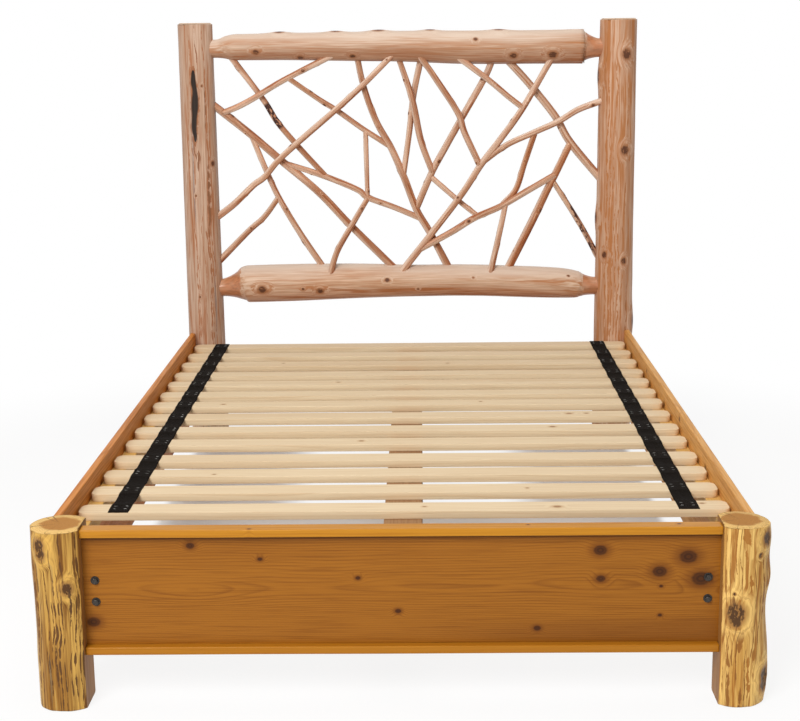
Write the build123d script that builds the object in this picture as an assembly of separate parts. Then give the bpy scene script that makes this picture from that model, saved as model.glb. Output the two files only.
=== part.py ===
from build123d import *
import os
from math import cos, exp, radians, sin, sqrt

# Rustic cedar log bed, queen size.
# Millimetres, +Z up. The origin is on the floor under the middle of the bed.
# The foot of the bed lies toward -Y and the head toward +Y; +X is on the right seen from the foot.

# ---------------------------------------------------------------- mattress and deck
MATTRESS_WIDTH = 1524
MATTRESS_LENGTH = 2032
MATTRESS_SIDE_GAP = 2
MATTRESS_END_GAP = 8
BOARD = 19

# ---------------------------------------------------------------- foot posts
FOOT_POST_LEFT_RADIUS = 66
FOOT_POST_RIGHT_RADIUS = 60
FOOT_POST_HEIGHT = 418
FOOT_FLAT_LEFT_FROM_AXIS = 47
FOOT_FLAT_RIGHT_FROM_AXIS = 42
SIDE_BOARD_FROM_LEFT_FLAT = 58
SIDE_BOARD_FROM_RIGHT_FLAT = 65
FOOT_SEAT_DEPTH = 8

# ---------------------------------------------------------------- head posts
HEAD_POST_HEIGHT = 1500
HEAD_POST_LEFT_BUTT = 67
HEAD_POST_LEFT_TOP = 60
HEAD_POST_RIGHT_BUTT = 69
HEAD_POST_RIGHT_TOP = 64
SIDE_BOARD_FROM_HEAD_AXIS = 34
HEAD_SEAT_DEPTH = 15

# ---------------------------------------------------------------- foot panel
PANEL_BELOW_POST_TOP = 6
FOOT_BOARD_HEIGHT = 254
STRIP_HEIGHT = 19
STRIP_DEPTH = 38
PANEL_FRONT_FROM_AXIS = 31
CLEAT = 38
CLEAT_HEIGHT = 230
CLEAT_ABOVE_BOARD_FOOT = 12

# ---------------------------------------------------------------- side boards and ledgers
SIDE_BOARD_HEIGHT = 286
SIDE_BOARD_BELOW_POST_TOP = 1
DECK_BELOW_BOARD_TOP = 36
LEDGER = 38
LEDGER_END_GAP = 6

# ---------------------------------------------------------------- slat mat
SLAT_END_GAP = 5
SLAT_WIDTH = 67
SLAT_THICKNESS = 19
SLAT_CORNER = 18
SLAT_HEAD_GAP = 3
DECK_FOOT_GAP = 179
# how far each slat, from the head down, was knocked off its even spacing when the straps were stapled
SLAT_NUDGES = (0, -10, -11, -19, -8, -8, 6, 5, -2, 7, -6, 2, 2, -1)
STRAP_WIDTH = 50
STRAP_THICKNESS = 2
STRAP_FROM_SLAT_END = 95
STRAP_END_INSET = 2

# ---------------------------------------------------------------- headboard
TOP_RAIL_BELOW_POST_TOP = 87
BOTTOM_RAIL_ABOVE_DECK = 218
TENON_RADIUS = 31
TENON_DEPTH = 45
# the hollow that the tenon cutter leaves at each rail end, from the post to the full log
COVE_TOP_LEFT = 53
COVE_TOP_RIGHT = 63
COVE_BOTTOM_LEFT = 85
COVE_BOTTOM_RIGHT = 65
# each rail's radius and how far its heart rises from its level line, at even steps from left to right
TOP_RAIL_RADII = (43, 46, 48.5, 52, 56, 57, 58)
TOP_RAIL_RISES = (3, 4, 2, 1, -5, -7, -7)
TOP_TENON_DROP_LEFT = 1
TOP_TENON_DROP_RIGHT = 12
BOTTOM_RAIL_RADII = (65, 66, 62, 57, 56, 55, 48)
BOTTOM_RAIL_RISES = (-12, -8, -5, -5, -5, -12, -25)
BOTTOM_TENON_DROP_LEFT = 24
BOTTOM_TENON_DROP_RIGHT = 30
BRANCH_RADIUS = 10
WEAVE_DEPTH = 25

# ---------------------------------------------------------------- head cross board, centre beam, legs
CROSS_BOARD_HEIGHT = 184
CROSS_BOARD_MORTISE = 20
BEAM_WIDTH = 89
BEAM_THICKNESS = 38
BEAM_CLEAT_LENGTH = 150
LEG_WIDTH = 89
LEG_DEPTH = 38
LEG_FROM_MIDDLE = 350

# ---------------------------------------------------------------- fastenings
BOLT_RADIUS = 4.8
BOLT_HEAD_ACROSS = 14.3
BOLT_HEAD_HEIGHT = 6
BOLT_REACH = 32
BOLT_FROM_POST_FLAT = 26
BOLT_ABOVE_BOARD_FOOT = 151
BOLT_SPACING = 50
BOLT_HOLE_PLAY = 0.3
WASHER_RADIUS = 10
WASHER_THICKNESS = 2
LAG_RADIUS = 4
LAG_HEAD_ACROSS = 12.7
LAG_HEAD_HEIGHT = 5
LAG_REACH = 42
CLEAT_LAG_END = 34
SCREW_RADIUS = 2.2
SCREW_HEAD_RADIUS = 4.4
SCREW_HEAD_HEIGHT = 2.4
LEDGER_SCREW_REACH = 13
LEDGER_SCREW_COUNT = 5
LEDGER_SCREW_END = 120
BRACKET_LEG = 38
BRACKET_ARM = 75
BRACKET_THICKNESS = 3
BRACKET_HEIGHT = 130
BRACKET_BELOW_BOARD_TOP = 112
BRACKET_HOLE_EDGE = 28
SEAT_MARGIN = 5

# ---------------------------------------------------------------- how finely rounds are worked
# The logs are peeled with a drawknife, which leaves their round as a run of narrow flats.
POST_FLAT_COUNT = 24
RAIL_FLAT_COUNT = 18
BRANCH_FLAT_COUNT = 12
SHANK_FLAT_COUNT = 10
WASHER_FLAT_COUNT = 16
SLAT_CORNER_COUNT = 3
FOOT_POST_LEVEL_COUNT = 11
HEAD_POST_LEVEL_COUNT = 5
COVE_RING_COUNT = 4

# ---------------------------------------------------------------- worked out from the sizes above
HALF_INSIDE = MATTRESS_WIDTH / 2 + MATTRESS_SIDE_GAP
LEFT_FLAT_X = SIDE_BOARD_FROM_LEFT_FLAT - HALF_INSIDE
RIGHT_FLAT_X = HALF_INSIDE - SIDE_BOARD_FROM_RIGHT_FLAT
HEAD_POST_X = HALF_INSIDE - SIDE_BOARD_FROM_HEAD_AXIS
AXIS_TO_AXIS = FOOT_POST_LEFT_RADIUS + MATTRESS_LENGTH + MATTRESS_END_GAP + HEAD_POST_RIGHT_BUTT
FOOT_POST_Y = FOOT_POST_LEFT_RADIUS - (FOOT_POST_LEFT_RADIUS + AXIS_TO_AXIS + HEAD_POST_RIGHT_BUTT) / 2
HEAD_POST_Y = FOOT_POST_Y + AXIS_TO_AXIS
STRIP_FRONT_Y = FOOT_POST_Y - PANEL_FRONT_FROM_AXIS
PANEL_BACK_Y = STRIP_FRONT_Y + STRIP_DEPTH
FOOT_BOARD_FRONT_Y = PANEL_BACK_Y - BOARD
PANEL_TOP = FOOT_POST_HEIGHT - PANEL_BELOW_POST_TOP
FOOT_BOARD_Z = PANEL_TOP - STRIP_HEIGHT - FOOT_BOARD_HEIGHT
SIDE_BOARD_TOP = FOOT_POST_HEIGHT - SIDE_BOARD_BELOW_POST_TOP
BRACKET_BOTTOM = SIDE_BOARD_TOP - BRACKET_BELOW_BOARD_TOP - BRACKET_HEIGHT
DECK_TOP = SIDE_BOARD_TOP - DECK_BELOW_BOARD_TOP
SLAT_BOTTOM = DECK_TOP - SLAT_THICKNESS
SLAT_LENGTH = 2 * (HALF_INSIDE - SLAT_END_GAP)
FIRST_SLAT_Y = HEAD_POST_Y - HEAD_POST_RIGHT_BUTT - SLAT_HEAD_GAP - SLAT_WIDTH / 2
LAST_SLAT_Y = PANEL_BACK_Y + DECK_FOOT_GAP + SLAT_WIDTH / 2
SLAT_PITCH = (FIRST_SLAT_Y - LAST_SLAT_Y) / (len(SLAT_NUDGES) - 1)
CROSS_BOARD_FRONT_Y = HEAD_POST_Y - BOARD / 2
TOP_RAIL_Z = HEAD_POST_HEIGHT - TOP_RAIL_BELOW_POST_TOP
BOTTOM_RAIL_Z = DECK_TOP + BOTTOM_RAIL_ABOVE_DECK
HALF_OPENING = HEAD_POST_X - HEAD_POST_RIGHT_TOP
HEAD_OPENING = TOP_RAIL_Z - BOTTOM_RAIL_Z
TENON_END_X = HALF_OPENING + TENON_DEPTH


def block(low_x, high_x, low_y, high_y, low_z, high_z):
    """A squared timber between two opposite corners."""
    middle = ((low_x + high_x) / 2, (low_y + high_y) / 2, (low_z + high_z) / 2)
    return Pos(*middle) * Box(high_x - low_x, high_y - low_y, high_z - low_z)


def largest(shape):
    """The main piece left after a cut."""
    return max(shape.solids(), key=lambda solid: solid.volume)


def boxes_meet(one, other):
    """Whether two solids lie close enough to touch."""
    a, b = one.bounding_box(), other.bounding_box()
    return (a.min.X < b.max.X and b.min.X < a.max.X
            and a.min.Y < b.max.Y and b.min.Y < a.max.Y
            and a.min.Z < b.max.Z and b.min.Z < a.max.Z)


def cut_away(solid, tools):
    """The solid with its neighbours' shapes taken out of it."""
    for tool in tools:
        if boxes_meet(solid, tool):
            solid = largest(solid - tool)
    return solid


# ---------------------------------------------------------------- logs
def flat_ring(section, radius, flats):
    """The corners of a log's section in a plane across its line."""
    bearings = [radians(360 * step / flats) for step in range(flats)]
    return [section.from_local_coords((radius * cos(turn), radius * sin(turn), 0)) for turn in bearings]


def peeled_log(rings):
    """A solid skinned over its sections in flats, each split where the log bends or swells."""
    count = len(rings[0])
    flats = [Face(Wire.make_polygon(rings[0])), Face(Wire.make_polygon(rings[-1]))]
    for near, far in zip(rings, rings[1:]):
        for here in range(count):
            after = (here + 1) % count
            flats.append(Face(Wire.make_polygon([near[here], near[after], far[after]])))
            flats.append(Face(Wire.make_polygon([near[here], far[after], far[here]])))
    return Solid(Shell(flats)).clean()


def straight_round(start, toward, radius, length, flats):
    """A short straight round, such as a shank, a washer or the hole for one."""
    near = Plane(origin=start, z_dir=toward)
    return peeled_log([flat_ring(near, radius, flats), flat_ring(near.offset(length), radius, flats)])


# ---------------------------------------------------------------- posts
# A knot swells the log: (height up the post, bearing in degrees from +X, stand-out, half its size).
FOOT_KNOTS_LEFT = ((330, 205, 3, 45), (235, 285, 4, 35), (20, 180, 3, 60))
FOOT_KNOTS_RIGHT = ((375, 335, 6, 40), (285, 350, 4, 40), (200, 262, 4, 45), (75, 340, 13, 60))


def knot_swell(knot, bearing, height):
    """How far one knot pushes the log's surface out at a bearing and height."""
    knot_height, knot_bearing, stand_out, half_size = knot
    turn = (bearing - knot_bearing + 180) % 360 - 180
    along = (height - knot_height) / half_size
    around = radians(turn) * FOOT_POST_LEFT_RADIUS / half_size
    return stand_out * exp(-along * along - around * around)


def upright_log(x, y, height, butt_radius, top_radius, knots, levels):
    """A peeled log standing on the floor, tapering upward, swollen where its knots are."""
    rings = []
    for level in range(levels):
        z = height * level / (levels - 1)
        radius = butt_radius + (top_radius - butt_radius) * z / height
        ring = []
        for step in range(POST_FLAT_COUNT):
            bearing = 360 * step / POST_FLAT_COUNT
            reach = radius + sum(knot_swell(knot, bearing, z) for knot in knots)
            ring.append(Vector(x + reach * cos(radians(bearing)), y + reach * sin(radians(bearing)), z))
        rings.append(ring)
    return peeled_log(rings)


def foot_seat_y(radius):
    """How far back a foot post's bracket seat lies."""
    return FOOT_POST_Y + radius - FOOT_SEAT_DEPTH


def head_seat_y(radius):
    """How far back a head post's bracket seat lies."""
    return HEAD_POST_Y - radius + HEAD_SEAT_DEPTH


def bracket_seat(side, seat_y, outward):
    """The flat chopped into a post so that a bracket's short leg lies on it."""
    across = sorted((side * (HALF_INSIDE - BRACKET_LEG - SEAT_MARGIN), side * HALF_INSIDE))
    along = sorted((seat_y, seat_y + outward))
    return block(*across, *along, BRACKET_BOTTOM - SEAT_MARGIN, BRACKET_BOTTOM + BRACKET_HEIGHT + SEAT_MARGIN)


def foot_post(side, flat_x, flat_from_axis, radius, knots):
    """A foot post, with the flat sawn down its full height for the panel's end and the bracket's seat."""
    axis_x = flat_x + side * flat_from_axis
    log = upright_log(axis_x, FOOT_POST_Y, FOOT_POST_HEIGHT, radius, radius, knots, FOOT_POST_LEVEL_COUNT)
    slab = sorted((flat_x - side * radius, flat_x))
    log = largest(log - block(*slab, FOOT_POST_Y - 2 * radius, FOOT_POST_Y + 2 * radius,
                              -1, FOOT_POST_HEIGHT + 1))
    return largest(log - bracket_seat(side, foot_seat_y(radius), radius))


def head_post(side, butt_radius, top_radius):
    """A head post, with the seat for its side board's bracket."""
    log = upright_log(side * HEAD_POST_X, HEAD_POST_Y, HEAD_POST_HEIGHT,
                      butt_radius, top_radius, (), HEAD_POST_LEVEL_COUNT)
    return largest(log - bracket_seat(side, head_seat_y(butt_radius), -butt_radius))


# ---------------------------------------------------------------- headboard rails
def rail_ring(x, z, radius):
    """A rail's section at x."""
    section = Plane(origin=(x, HEAD_POST_Y, z), x_dir=(0, 1, 0), z_dir=(1, 0, 0))
    return flat_ring(section, radius, RAIL_FLAT_COUNT)


def rail_rings(low_x, high_x, centre_z, rises, radii):
    """The sections of a rail's body between its shoulders."""
    step = (high_x - low_x) / (len(radii) - 1)
    return [rail_ring(low_x + place * step, centre_z + rise, radius)
            for place, (rise, radius) in enumerate(zip(rises, radii))]


def coved_end(side, cove, tenon_z, log_z, log_radius):
    """A rail's end from its tenon inward, growing along the cutter's hollow toward the full log."""
    rings = [rail_ring(side * TENON_END_X, tenon_z, TENON_RADIUS)]
    for step in range(COVE_RING_COUNT):
        along = step / COVE_RING_COUNT
        grown = along * along
        z = tenon_z + grown * (log_z - tenon_z)
        radius = TENON_RADIUS + grown * (log_radius - TENON_RADIUS)
        rings.append(rail_ring(side * (HALF_OPENING - along * cove), z, radius))
    return rings if side < 0 else rings[::-1]


def head_rail(centre_z, rises, radii, left_cove, right_cove, left_drop, right_drop):
    """A peeled log rail between the head posts, with a turned tenon on either end."""
    left = coved_end(-1, left_cove, centre_z - left_drop, centre_z + rises[0], radii[0])
    body = rail_rings(left_cove - HALF_OPENING, HALF_OPENING - right_cove, centre_z, rises, radii)
    right = coved_end(1, right_cove, centre_z - right_drop, centre_z + rises[-1], radii[-1])
    return peeled_log(left + body + right)


# ---------------------------------------------------------------- woven branches
# Each branch: its name, the girth at its first and last point as a percent of the branch radius, and the
# points that its centre line runs through. A point is percent of the half opening across, percent of the
# height between the rails, and percent of the weave's depth, negative toward the foot of the bed.
# A branch comes after those that it stops against or passes behind, so that it is coped to them.
# An end past 100 across, or within a few percent of a rail's line, is let into the post or rail.
BRANCHES = (
    ("branch_01", 110, 125, ((77, 97.5, -120), (60.5, 74, -100), (48.5, 60.5, -100), (38.5, 50, -100),
     (28.5, 37.5, -100), (12.5, 20.5, -104), (-5, 2.5, -120))),
    ("branch_02", 100, 120, ((-6, 97.5, -116), (-23, 84, -106), (-37, 74, -100), (-55.5, 61.5, -100),
     (-68, 52.5, -100), (-75.5, 45.5, -96), (-81.5, 42, -88), (-92, 34, -56), (-103.5, 27, -32))),
    ("branch_03", 110, 130, ((-26, 97, -8), (-22.5, 83, 0), (-16.5, 69, 4), (-8.5, 57, 4), (-2, 44.5, 0),
     (4.5, 30.5, 0), (11.5, 20.5, 0), (22, 4, 0))),
    ("branch_04", 130, 130, ((-103.5, 77.5, 8), (-82.5, 63.5, 8), (-68, 53, 12), (-47.5, 38.5, 8),
     (-31.5, 24.5, 8), (-6.5, 4, 0))),
    ("branch_05", 105, 100, ((-65.5, 51.2, 8), (-46, 46, 0), (-27, 39.5, 0), (-21.5, 36, 0), (-7, 31.5, 0),
     (7, 26.5, 0))),
    ("branch_06", 125, 140, ((50.3, 95.5, 16), (63.5, 84, 16), (77.5, 70, 16), (85.5, 59, 16),
     (103.5, 41.5, 8))),
    ("branch_07", 110, 100, ((103.5, 77, -72), (89.5, 73, -96), (79, 68, -100), (66.5, 63.5, -100),
     (51.5, 58, -100), (39, 50.7, -100))),
    ("branch_08", 125, 145, ((85.7, 58.7, 12), (78.5, 46.5, 0), (74.5, 40, 0), (65.5, 24.5, 0),
     (52.3, 3, 0))),
    ("branch_09", 110, 115, ((5.5, 13.3, -112), (23, 21, -100), (35, 27, -100), (49, 32, -100),
     (63, 38.5, -80), (77.5, 45, -16))),
    ("branch_10", 120, 120, ((45.2, 95.5, 0), (40.5, 86.5, 4), (28.5, 69.5, 8), (20.5, 58, 8), (13, 47, 4),
     (4.3, 30.8, 0))),
    ("branch_11", 100, 105, ((-96.5, 73, -32), (-88.5, 75.5, -88), (-80, 79, -100), (-64, 86.5, -100),
     (-37, 97.3, -92))),
    ("branch_12", 90, 95, ((-61.5, 87.2, -96), (-47.5, 79, -16), (-37, 73.5, 0), (-22.5, 65, 0),
     (-9.5, 58, 4))),
    ("branch_13", 110, 100, ((-92.5, 97.5, 0), (-75.5, 78.5, 4), (-68.5, 69, 4), (-59, 59.5, 4),
     (-43.5, 45.3, 0))),
    ("branch_14", 85, 85, ((-22, 64.8, 0), (-21.5, 36.3, 0))),
    ("branch_15", 95, 110, ((-21.2, 36, 0), (-28, 27, -88), (-38, 13, -168), (-42.3, 1, -164))),
    ("branch_16", 95, 110, ((-82, 63, 8), (-75, 48.5, 8), (-68, 35.5, 0), (-57.5, 20.5, 0), (-44.5, 4, 0))),
    ("branch_17", 95, 110, ((-68.5, 36.5, 0), (-76.5, 28, 0), (-85.5, 21.5, 0), (-103.5, 7, 0))),
    ("branch_18", 100, 120, ((-5, 97, 12), (2.5, 78.5, -52), (7, 60.5, -32), (13, 46.8, 0))),
    ("branch_19", 95, 90, ((11.8, 45, 0), (27, 34, 12), (37, 27.6, -80))),
    ("branch_20", 110, 100, ((8, 97, 40), (3.5, 80, 44), (1, 63.5, 24), (-2.3, 45.5, 0))),
    ("branch_21", 105, 110, ((5.5, 97.5, -116), (15, 86.5, -106), (26.5, 72, -100), (30, 63.5, -100),
     (37.8, 49.8, -100))),
    ("branch_22", 105, 100, ((23, 97.5, -120), (42, 86, -104), (53, 78.5, -100), (60.2, 74, -100))),
    ("branch_23", 100, 105, ((66.5, 63.2, -88), (61.5, 50.5, -40), (57, 39, -32), (50, 32.7, -80))),
    ("branch_24", 95, 110, ((51.5, 33, -96), (48.5, 21.5, -116), (43, 1.5, -136))),
    ("branch_25", 95, 95, ((76, 43, 0), (87, 29, 0), (94, 19.5, 0), (103.5, 5, 0))),
)


def lattice_point(across, up, depth):
    """A place in the headboard's opening."""
    x = across / 100 * HALF_OPENING
    y = HEAD_POST_Y + depth / 100 * WEAVE_DEPTH
    return Vector(x, y, BOTTOM_RAIL_Z + up / 100 * HEAD_OPENING)


def branch_log(first_girth, last_girth, places):
    """One peeled branch: a tapering round that bends at each of its points."""
    line = [lattice_point(*place) for place in places]
    rings = []
    for index, point in enumerate(line):
        before = line[max(index - 1, 0)]
        after = line[min(index + 1, len(line) - 1)]
        share = index / (len(line) - 1)
        radius = (first_girth + (last_girth - first_girth) * share) / 100 * BRANCH_RADIUS
        section = Plane(origin=point, x_dir=(0, 1, 0), z_dir=after - before)
        rings.append(flat_ring(section, radius, BRANCH_FLAT_COUNT))
    return peeled_log(rings)


def woven_branches():
    """All the branches, each coped to those before it."""
    branches = {}
    for name, first_girth, last_girth, places in BRANCHES:
        branch = branch_log(first_girth, last_girth, places)
        branches[name] = cut_away(branch, list(branches.values()))
    return branches


# ---------------------------------------------------------------- making and fitting fastenings
def hex_bolt(point, toward, radius, head_across, head_height, reach):
    """A bolt with its head's underside at the point, its shank running the way it is driven."""
    out = Vector(*toward) * -1
    head = straight_round(point, tuple(out), head_across / sqrt(3), head_height, 6)
    return largest(head + straight_round(point, toward, radius, reach, SHANK_FLAT_COUNT))


def wood_screw(point, toward, reach):
    """A washer-headed screw, its head standing on the surface at the point."""
    out = Vector(*toward) * -1
    head = straight_round(point, tuple(out), SCREW_HEAD_RADIUS, SCREW_HEAD_HEIGHT, SHANK_FLAT_COUNT)
    return largest(head + straight_round(point, toward, SCREW_RADIUS, reach, SHANK_FLAT_COUNT))


def drilled(solid, point, toward, radius, reach):
    """The solid with one hole drilled from the point."""
    return largest(solid - straight_round(point, toward, radius, reach, SHANK_FLAT_COUNT))


# ---------------------------------------------------------------- the bed, put together
def build_headboard(nodes):
    """Posts, rails and branches: tenons in the posts, branch ends let into rails and posts."""
    left = head_post(-1, HEAD_POST_LEFT_BUTT, HEAD_POST_LEFT_TOP)
    right = head_post(1, HEAD_POST_RIGHT_BUTT, HEAD_POST_RIGHT_TOP)
    top = head_rail(TOP_RAIL_Z, TOP_RAIL_RISES, TOP_RAIL_RADII, COVE_TOP_LEFT, COVE_TOP_RIGHT,
                    TOP_TENON_DROP_LEFT, TOP_TENON_DROP_RIGHT)
    bottom = head_rail(BOTTOM_RAIL_Z, BOTTOM_RAIL_RISES, BOTTOM_RAIL_RADII, COVE_BOTTOM_LEFT,
                       COVE_BOTTOM_RIGHT, BOTTOM_TENON_DROP_LEFT, BOTTOM_TENON_DROP_RIGHT)
    branches = woven_branches()
    cross_end = HEAD_POST_X - HEAD_POST_RIGHT_TOP + CROSS_BOARD_MORTISE
    cross = block(-cross_end, cross_end, CROSS_BOARD_FRONT_Y, CROSS_BOARD_FRONT_Y + BOARD,
                  SLAT_BOTTOM - CROSS_BOARD_HEIGHT, SLAT_BOTTOM)
    tenoned = [top, bottom, cross, *branches.values()]
    nodes["head_post_left"] = cut_away(left, tenoned)
    nodes["head_post_right"] = cut_away(right, tenoned)
    nodes["head_top_rail"] = cut_away(top, branches.values())
    nodes["head_bottom_rail"] = cut_away(bottom, branches.values())
    nodes["head_cross_board"] = cross
    nodes.update(branches)


def build_foot_panel(nodes):
    """The board between the posts' flats with its cap strips, bolted to a cleat lagged to each post."""
    board_top = FOOT_BOARD_Z + FOOT_BOARD_HEIGHT
    board = block(LEFT_FLAT_X, RIGHT_FLAT_X, FOOT_BOARD_FRONT_Y, PANEL_BACK_Y, FOOT_BOARD_Z, board_top)
    posts = (
        (-1, "left", LEFT_FLAT_X, FOOT_FLAT_LEFT_FROM_AXIS, FOOT_POST_LEFT_RADIUS, FOOT_KNOTS_LEFT),
        (1, "right", RIGHT_FLAT_X, FOOT_FLAT_RIGHT_FROM_AXIS, FOOT_POST_RIGHT_RADIUS, FOOT_KNOTS_RIGHT),
    )
    bolts, washers, lags = [], [], []
    for side, name, flat_x, flat_from_axis, radius, knots in posts:
        post = foot_post(side, flat_x, flat_from_axis, radius, knots)
        cleat_face_x = flat_x - side * CLEAT
        edges = sorted((flat_x, cleat_face_x))
        cleat_z = FOOT_BOARD_Z + CLEAT_ABOVE_BOARD_FOOT
        cleat = block(*edges, PANEL_BACK_Y, PANEL_BACK_Y + CLEAT, cleat_z, cleat_z + CLEAT_HEIGHT)
        for row in range(2):
            z = FOOT_BOARD_Z + BOLT_ABOVE_BOARD_FOOT - row * BOLT_SPACING
            face = (flat_x - side * BOLT_FROM_POST_FLAT, FOOT_BOARD_FRONT_Y, z)
            seat = (face[0], face[1] - WASHER_THICKNESS, z)
            washer = straight_round(seat, (0, 1, 0), WASHER_RADIUS, WASHER_THICKNESS, WASHER_FLAT_COUNT)
            washers.append(drilled(washer, seat, (0, 1, 0), BOLT_RADIUS + BOLT_HOLE_PLAY, WASHER_THICKNESS))
            bolts.append(hex_bolt(seat, (0, 1, 0), BOLT_RADIUS, BOLT_HEAD_ACROSS, BOLT_HEAD_HEIGHT,
                                  WASHER_THICKNESS + BOARD + BOLT_REACH))
            board = drilled(board, face, (0, 1, 0), BOLT_RADIUS + BOLT_HOLE_PLAY, BOARD)
            cleat = drilled(cleat, (face[0], PANEL_BACK_Y, z), (0, 1, 0), BOLT_RADIUS, BOLT_REACH)
        for z in (cleat_z + CLEAT_LAG_END, cleat_z + CLEAT_HEIGHT - CLEAT_LAG_END):
            lag_at = (cleat_face_x, PANEL_BACK_Y + CLEAT / 2, z)
            lags.append(hex_bolt(lag_at, (side, 0, 0), LAG_RADIUS, LAG_HEAD_ACROSS, LAG_HEAD_HEIGHT,
                                 CLEAT + LAG_REACH))
            cleat = drilled(cleat, lag_at, (side, 0, 0), LAG_RADIUS, CLEAT)
            post = drilled(post, lag_at, (side, 0, 0), LAG_RADIUS, CLEAT + LAG_REACH)
        nodes["foot_post_" + name] = post
        nodes["foot_cleat_" + name] = cleat
    nodes["foot_board"] = board
    for name, low_z in (("foot_top_strip", board_top), ("foot_bottom_strip", FOOT_BOARD_Z - STRIP_HEIGHT)):
        nodes[name] = block(LEFT_FLAT_X, RIGHT_FLAT_X, STRIP_FRONT_Y, PANEL_BACK_Y,
                            low_z, low_z + STRIP_HEIGHT)
    nodes["foot_bolts"] = Compound(bolts)
    nodes["foot_washers"] = Compound(washers)
    nodes["cleat_lag_bolts"] = Compound(lags)


def build_side(nodes, side, name, screws):
    """A side board coped to the round of its two posts, with the ledger screwed inside it."""
    posts = [nodes["foot_post_" + name], nodes["head_post_" + name]]
    faces = sorted((side * HALF_INSIDE, side * (HALF_INSIDE + BOARD)))
    board = block(*faces, FOOT_POST_Y, HEAD_POST_Y, SIDE_BOARD_TOP - SIDE_BOARD_HEIGHT, SIDE_BOARD_TOP)
    board = cut_away(board, posts)
    low_y = FOOT_POST_Y + FOOT_POST_LEFT_RADIUS + LEDGER_END_GAP
    high_y = HEAD_POST_Y - HEAD_POST_RIGHT_BUTT - LEDGER_END_GAP
    edges = sorted((side * HALF_INSIDE, side * (HALF_INSIDE - LEDGER)))
    ledger = block(*edges, low_y, high_y, SLAT_BOTTOM - LEDGER, SLAT_BOTTOM)
    step = (high_y - low_y - 2 * LEDGER_SCREW_END) / (LEDGER_SCREW_COUNT - 1)
    for number in range(LEDGER_SCREW_COUNT):
        screw_y = low_y + LEDGER_SCREW_END + number * step
        point = (side * (HALF_INSIDE - LEDGER), screw_y, SLAT_BOTTOM - LEDGER / 2)
        reach = LEDGER + LEDGER_SCREW_REACH
        screws.append(wood_screw(point, (side, 0, 0), reach))
        ledger = drilled(ledger, point, (side, 0, 0), SCREW_RADIUS, reach)
        board = drilled(board, point, (side, 0, 0), SCREW_RADIUS, reach)
    nodes["side_board_" + name] = board
    nodes["side_ledger_" + name] = ledger


def build_sides(nodes):
    """Both sides, each hung on a steel angle lagged to either post."""
    screws, brackets, lags = [], [], []
    for side, name in ((-1, "left"), (1, "right")):
        build_side(nodes, side, name, screws)
        foot_seat = foot_seat_y(FOOT_POST_LEFT_RADIUS if side < 0 else FOOT_POST_RIGHT_RADIUS)
        head_seat = head_seat_y(HEAD_POST_LEFT_BUTT if side < 0 else HEAD_POST_RIGHT_BUTT)
        hangings = ((-1, "foot_post_" + name, foot_seat), (1, "head_post_" + name, head_seat))
        for end, post_name, seat_y in hangings:
            bracket = rail_bracket(side, end, seat_y)
            first_z = BRACKET_BOTTOM + BRACKET_HOLE_EDGE
            for z in (first_z, BRACKET_BOTTOM + BRACKET_HEIGHT - BRACKET_HOLE_EDGE):
                lag_at = (side * (HALF_INSIDE - BRACKET_LEG / 2), seat_y - end * BRACKET_THICKNESS, z)
                reach = BRACKET_THICKNESS + LAG_REACH
                lags.append(hex_bolt(lag_at, (0, end, 0), LAG_RADIUS, LAG_HEAD_ACROSS,
                                     LAG_HEAD_HEIGHT, reach))
                bracket = drilled(bracket, lag_at, (0, end, 0), LAG_RADIUS, reach)
                nodes[post_name] = drilled(nodes[post_name], lag_at, (0, end, 0), LAG_RADIUS, reach)
            brackets.append(bracket)
    nodes["ledger_screws"] = Compound(screws)
    nodes["rail_brackets"] = Compound(brackets)
    nodes["bracket_lag_bolts"] = Compound(lags)


def rail_bracket(side, end, seat_y):
    """A steel angle in the corner between a post's seat and the side board's inner face."""
    top = BRACKET_BOTTOM + BRACKET_HEIGHT
    inner = side * (HALF_INSIDE - BRACKET_THICKNESS)
    arm_y = sorted((seat_y, seat_y - end * BRACKET_ARM))
    arm = block(*sorted((inner, side * HALF_INSIDE)), *arm_y, BRACKET_BOTTOM, top)
    leg_x = sorted((side * (HALF_INSIDE - BRACKET_LEG), side * HALF_INSIDE))
    leg = block(*leg_x, *sorted((seat_y, seat_y - end * BRACKET_THICKNESS)), BRACKET_BOTTOM, top)
    return largest(arm + leg)


def build_centre_support(nodes):
    """The flat-laid beam under the middle of the slats, its end cleats and its two legs."""
    beam_bottom = SLAT_BOTTOM - BEAM_THICKNESS
    nodes["centre_beam"] = block(-BEAM_WIDTH / 2, BEAM_WIDTH / 2, PANEL_BACK_Y, CROSS_BOARD_FRONT_Y,
                                 beam_bottom, SLAT_BOTTOM)
    half = BEAM_CLEAT_LENGTH / 2
    nodes["beam_cleat_foot"] = block(-half, half, PANEL_BACK_Y, PANEL_BACK_Y + CLEAT,
                                     beam_bottom - CLEAT, beam_bottom)
    nodes["beam_cleat_head"] = block(-half, half, CROSS_BOARD_FRONT_Y - CLEAT, CROSS_BOARD_FRONT_Y,
                                     beam_bottom - CLEAT, beam_bottom)
    for name, y in (("centre_leg_foot", -LEG_FROM_MIDDLE), ("centre_leg_head", LEG_FROM_MIDDLE)):
        nodes[name] = block(-LEG_WIDTH / 2, LEG_WIDTH / 2, y - LEG_DEPTH / 2, y + LEG_DEPTH / 2,
                            0, beam_bottom)


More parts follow.
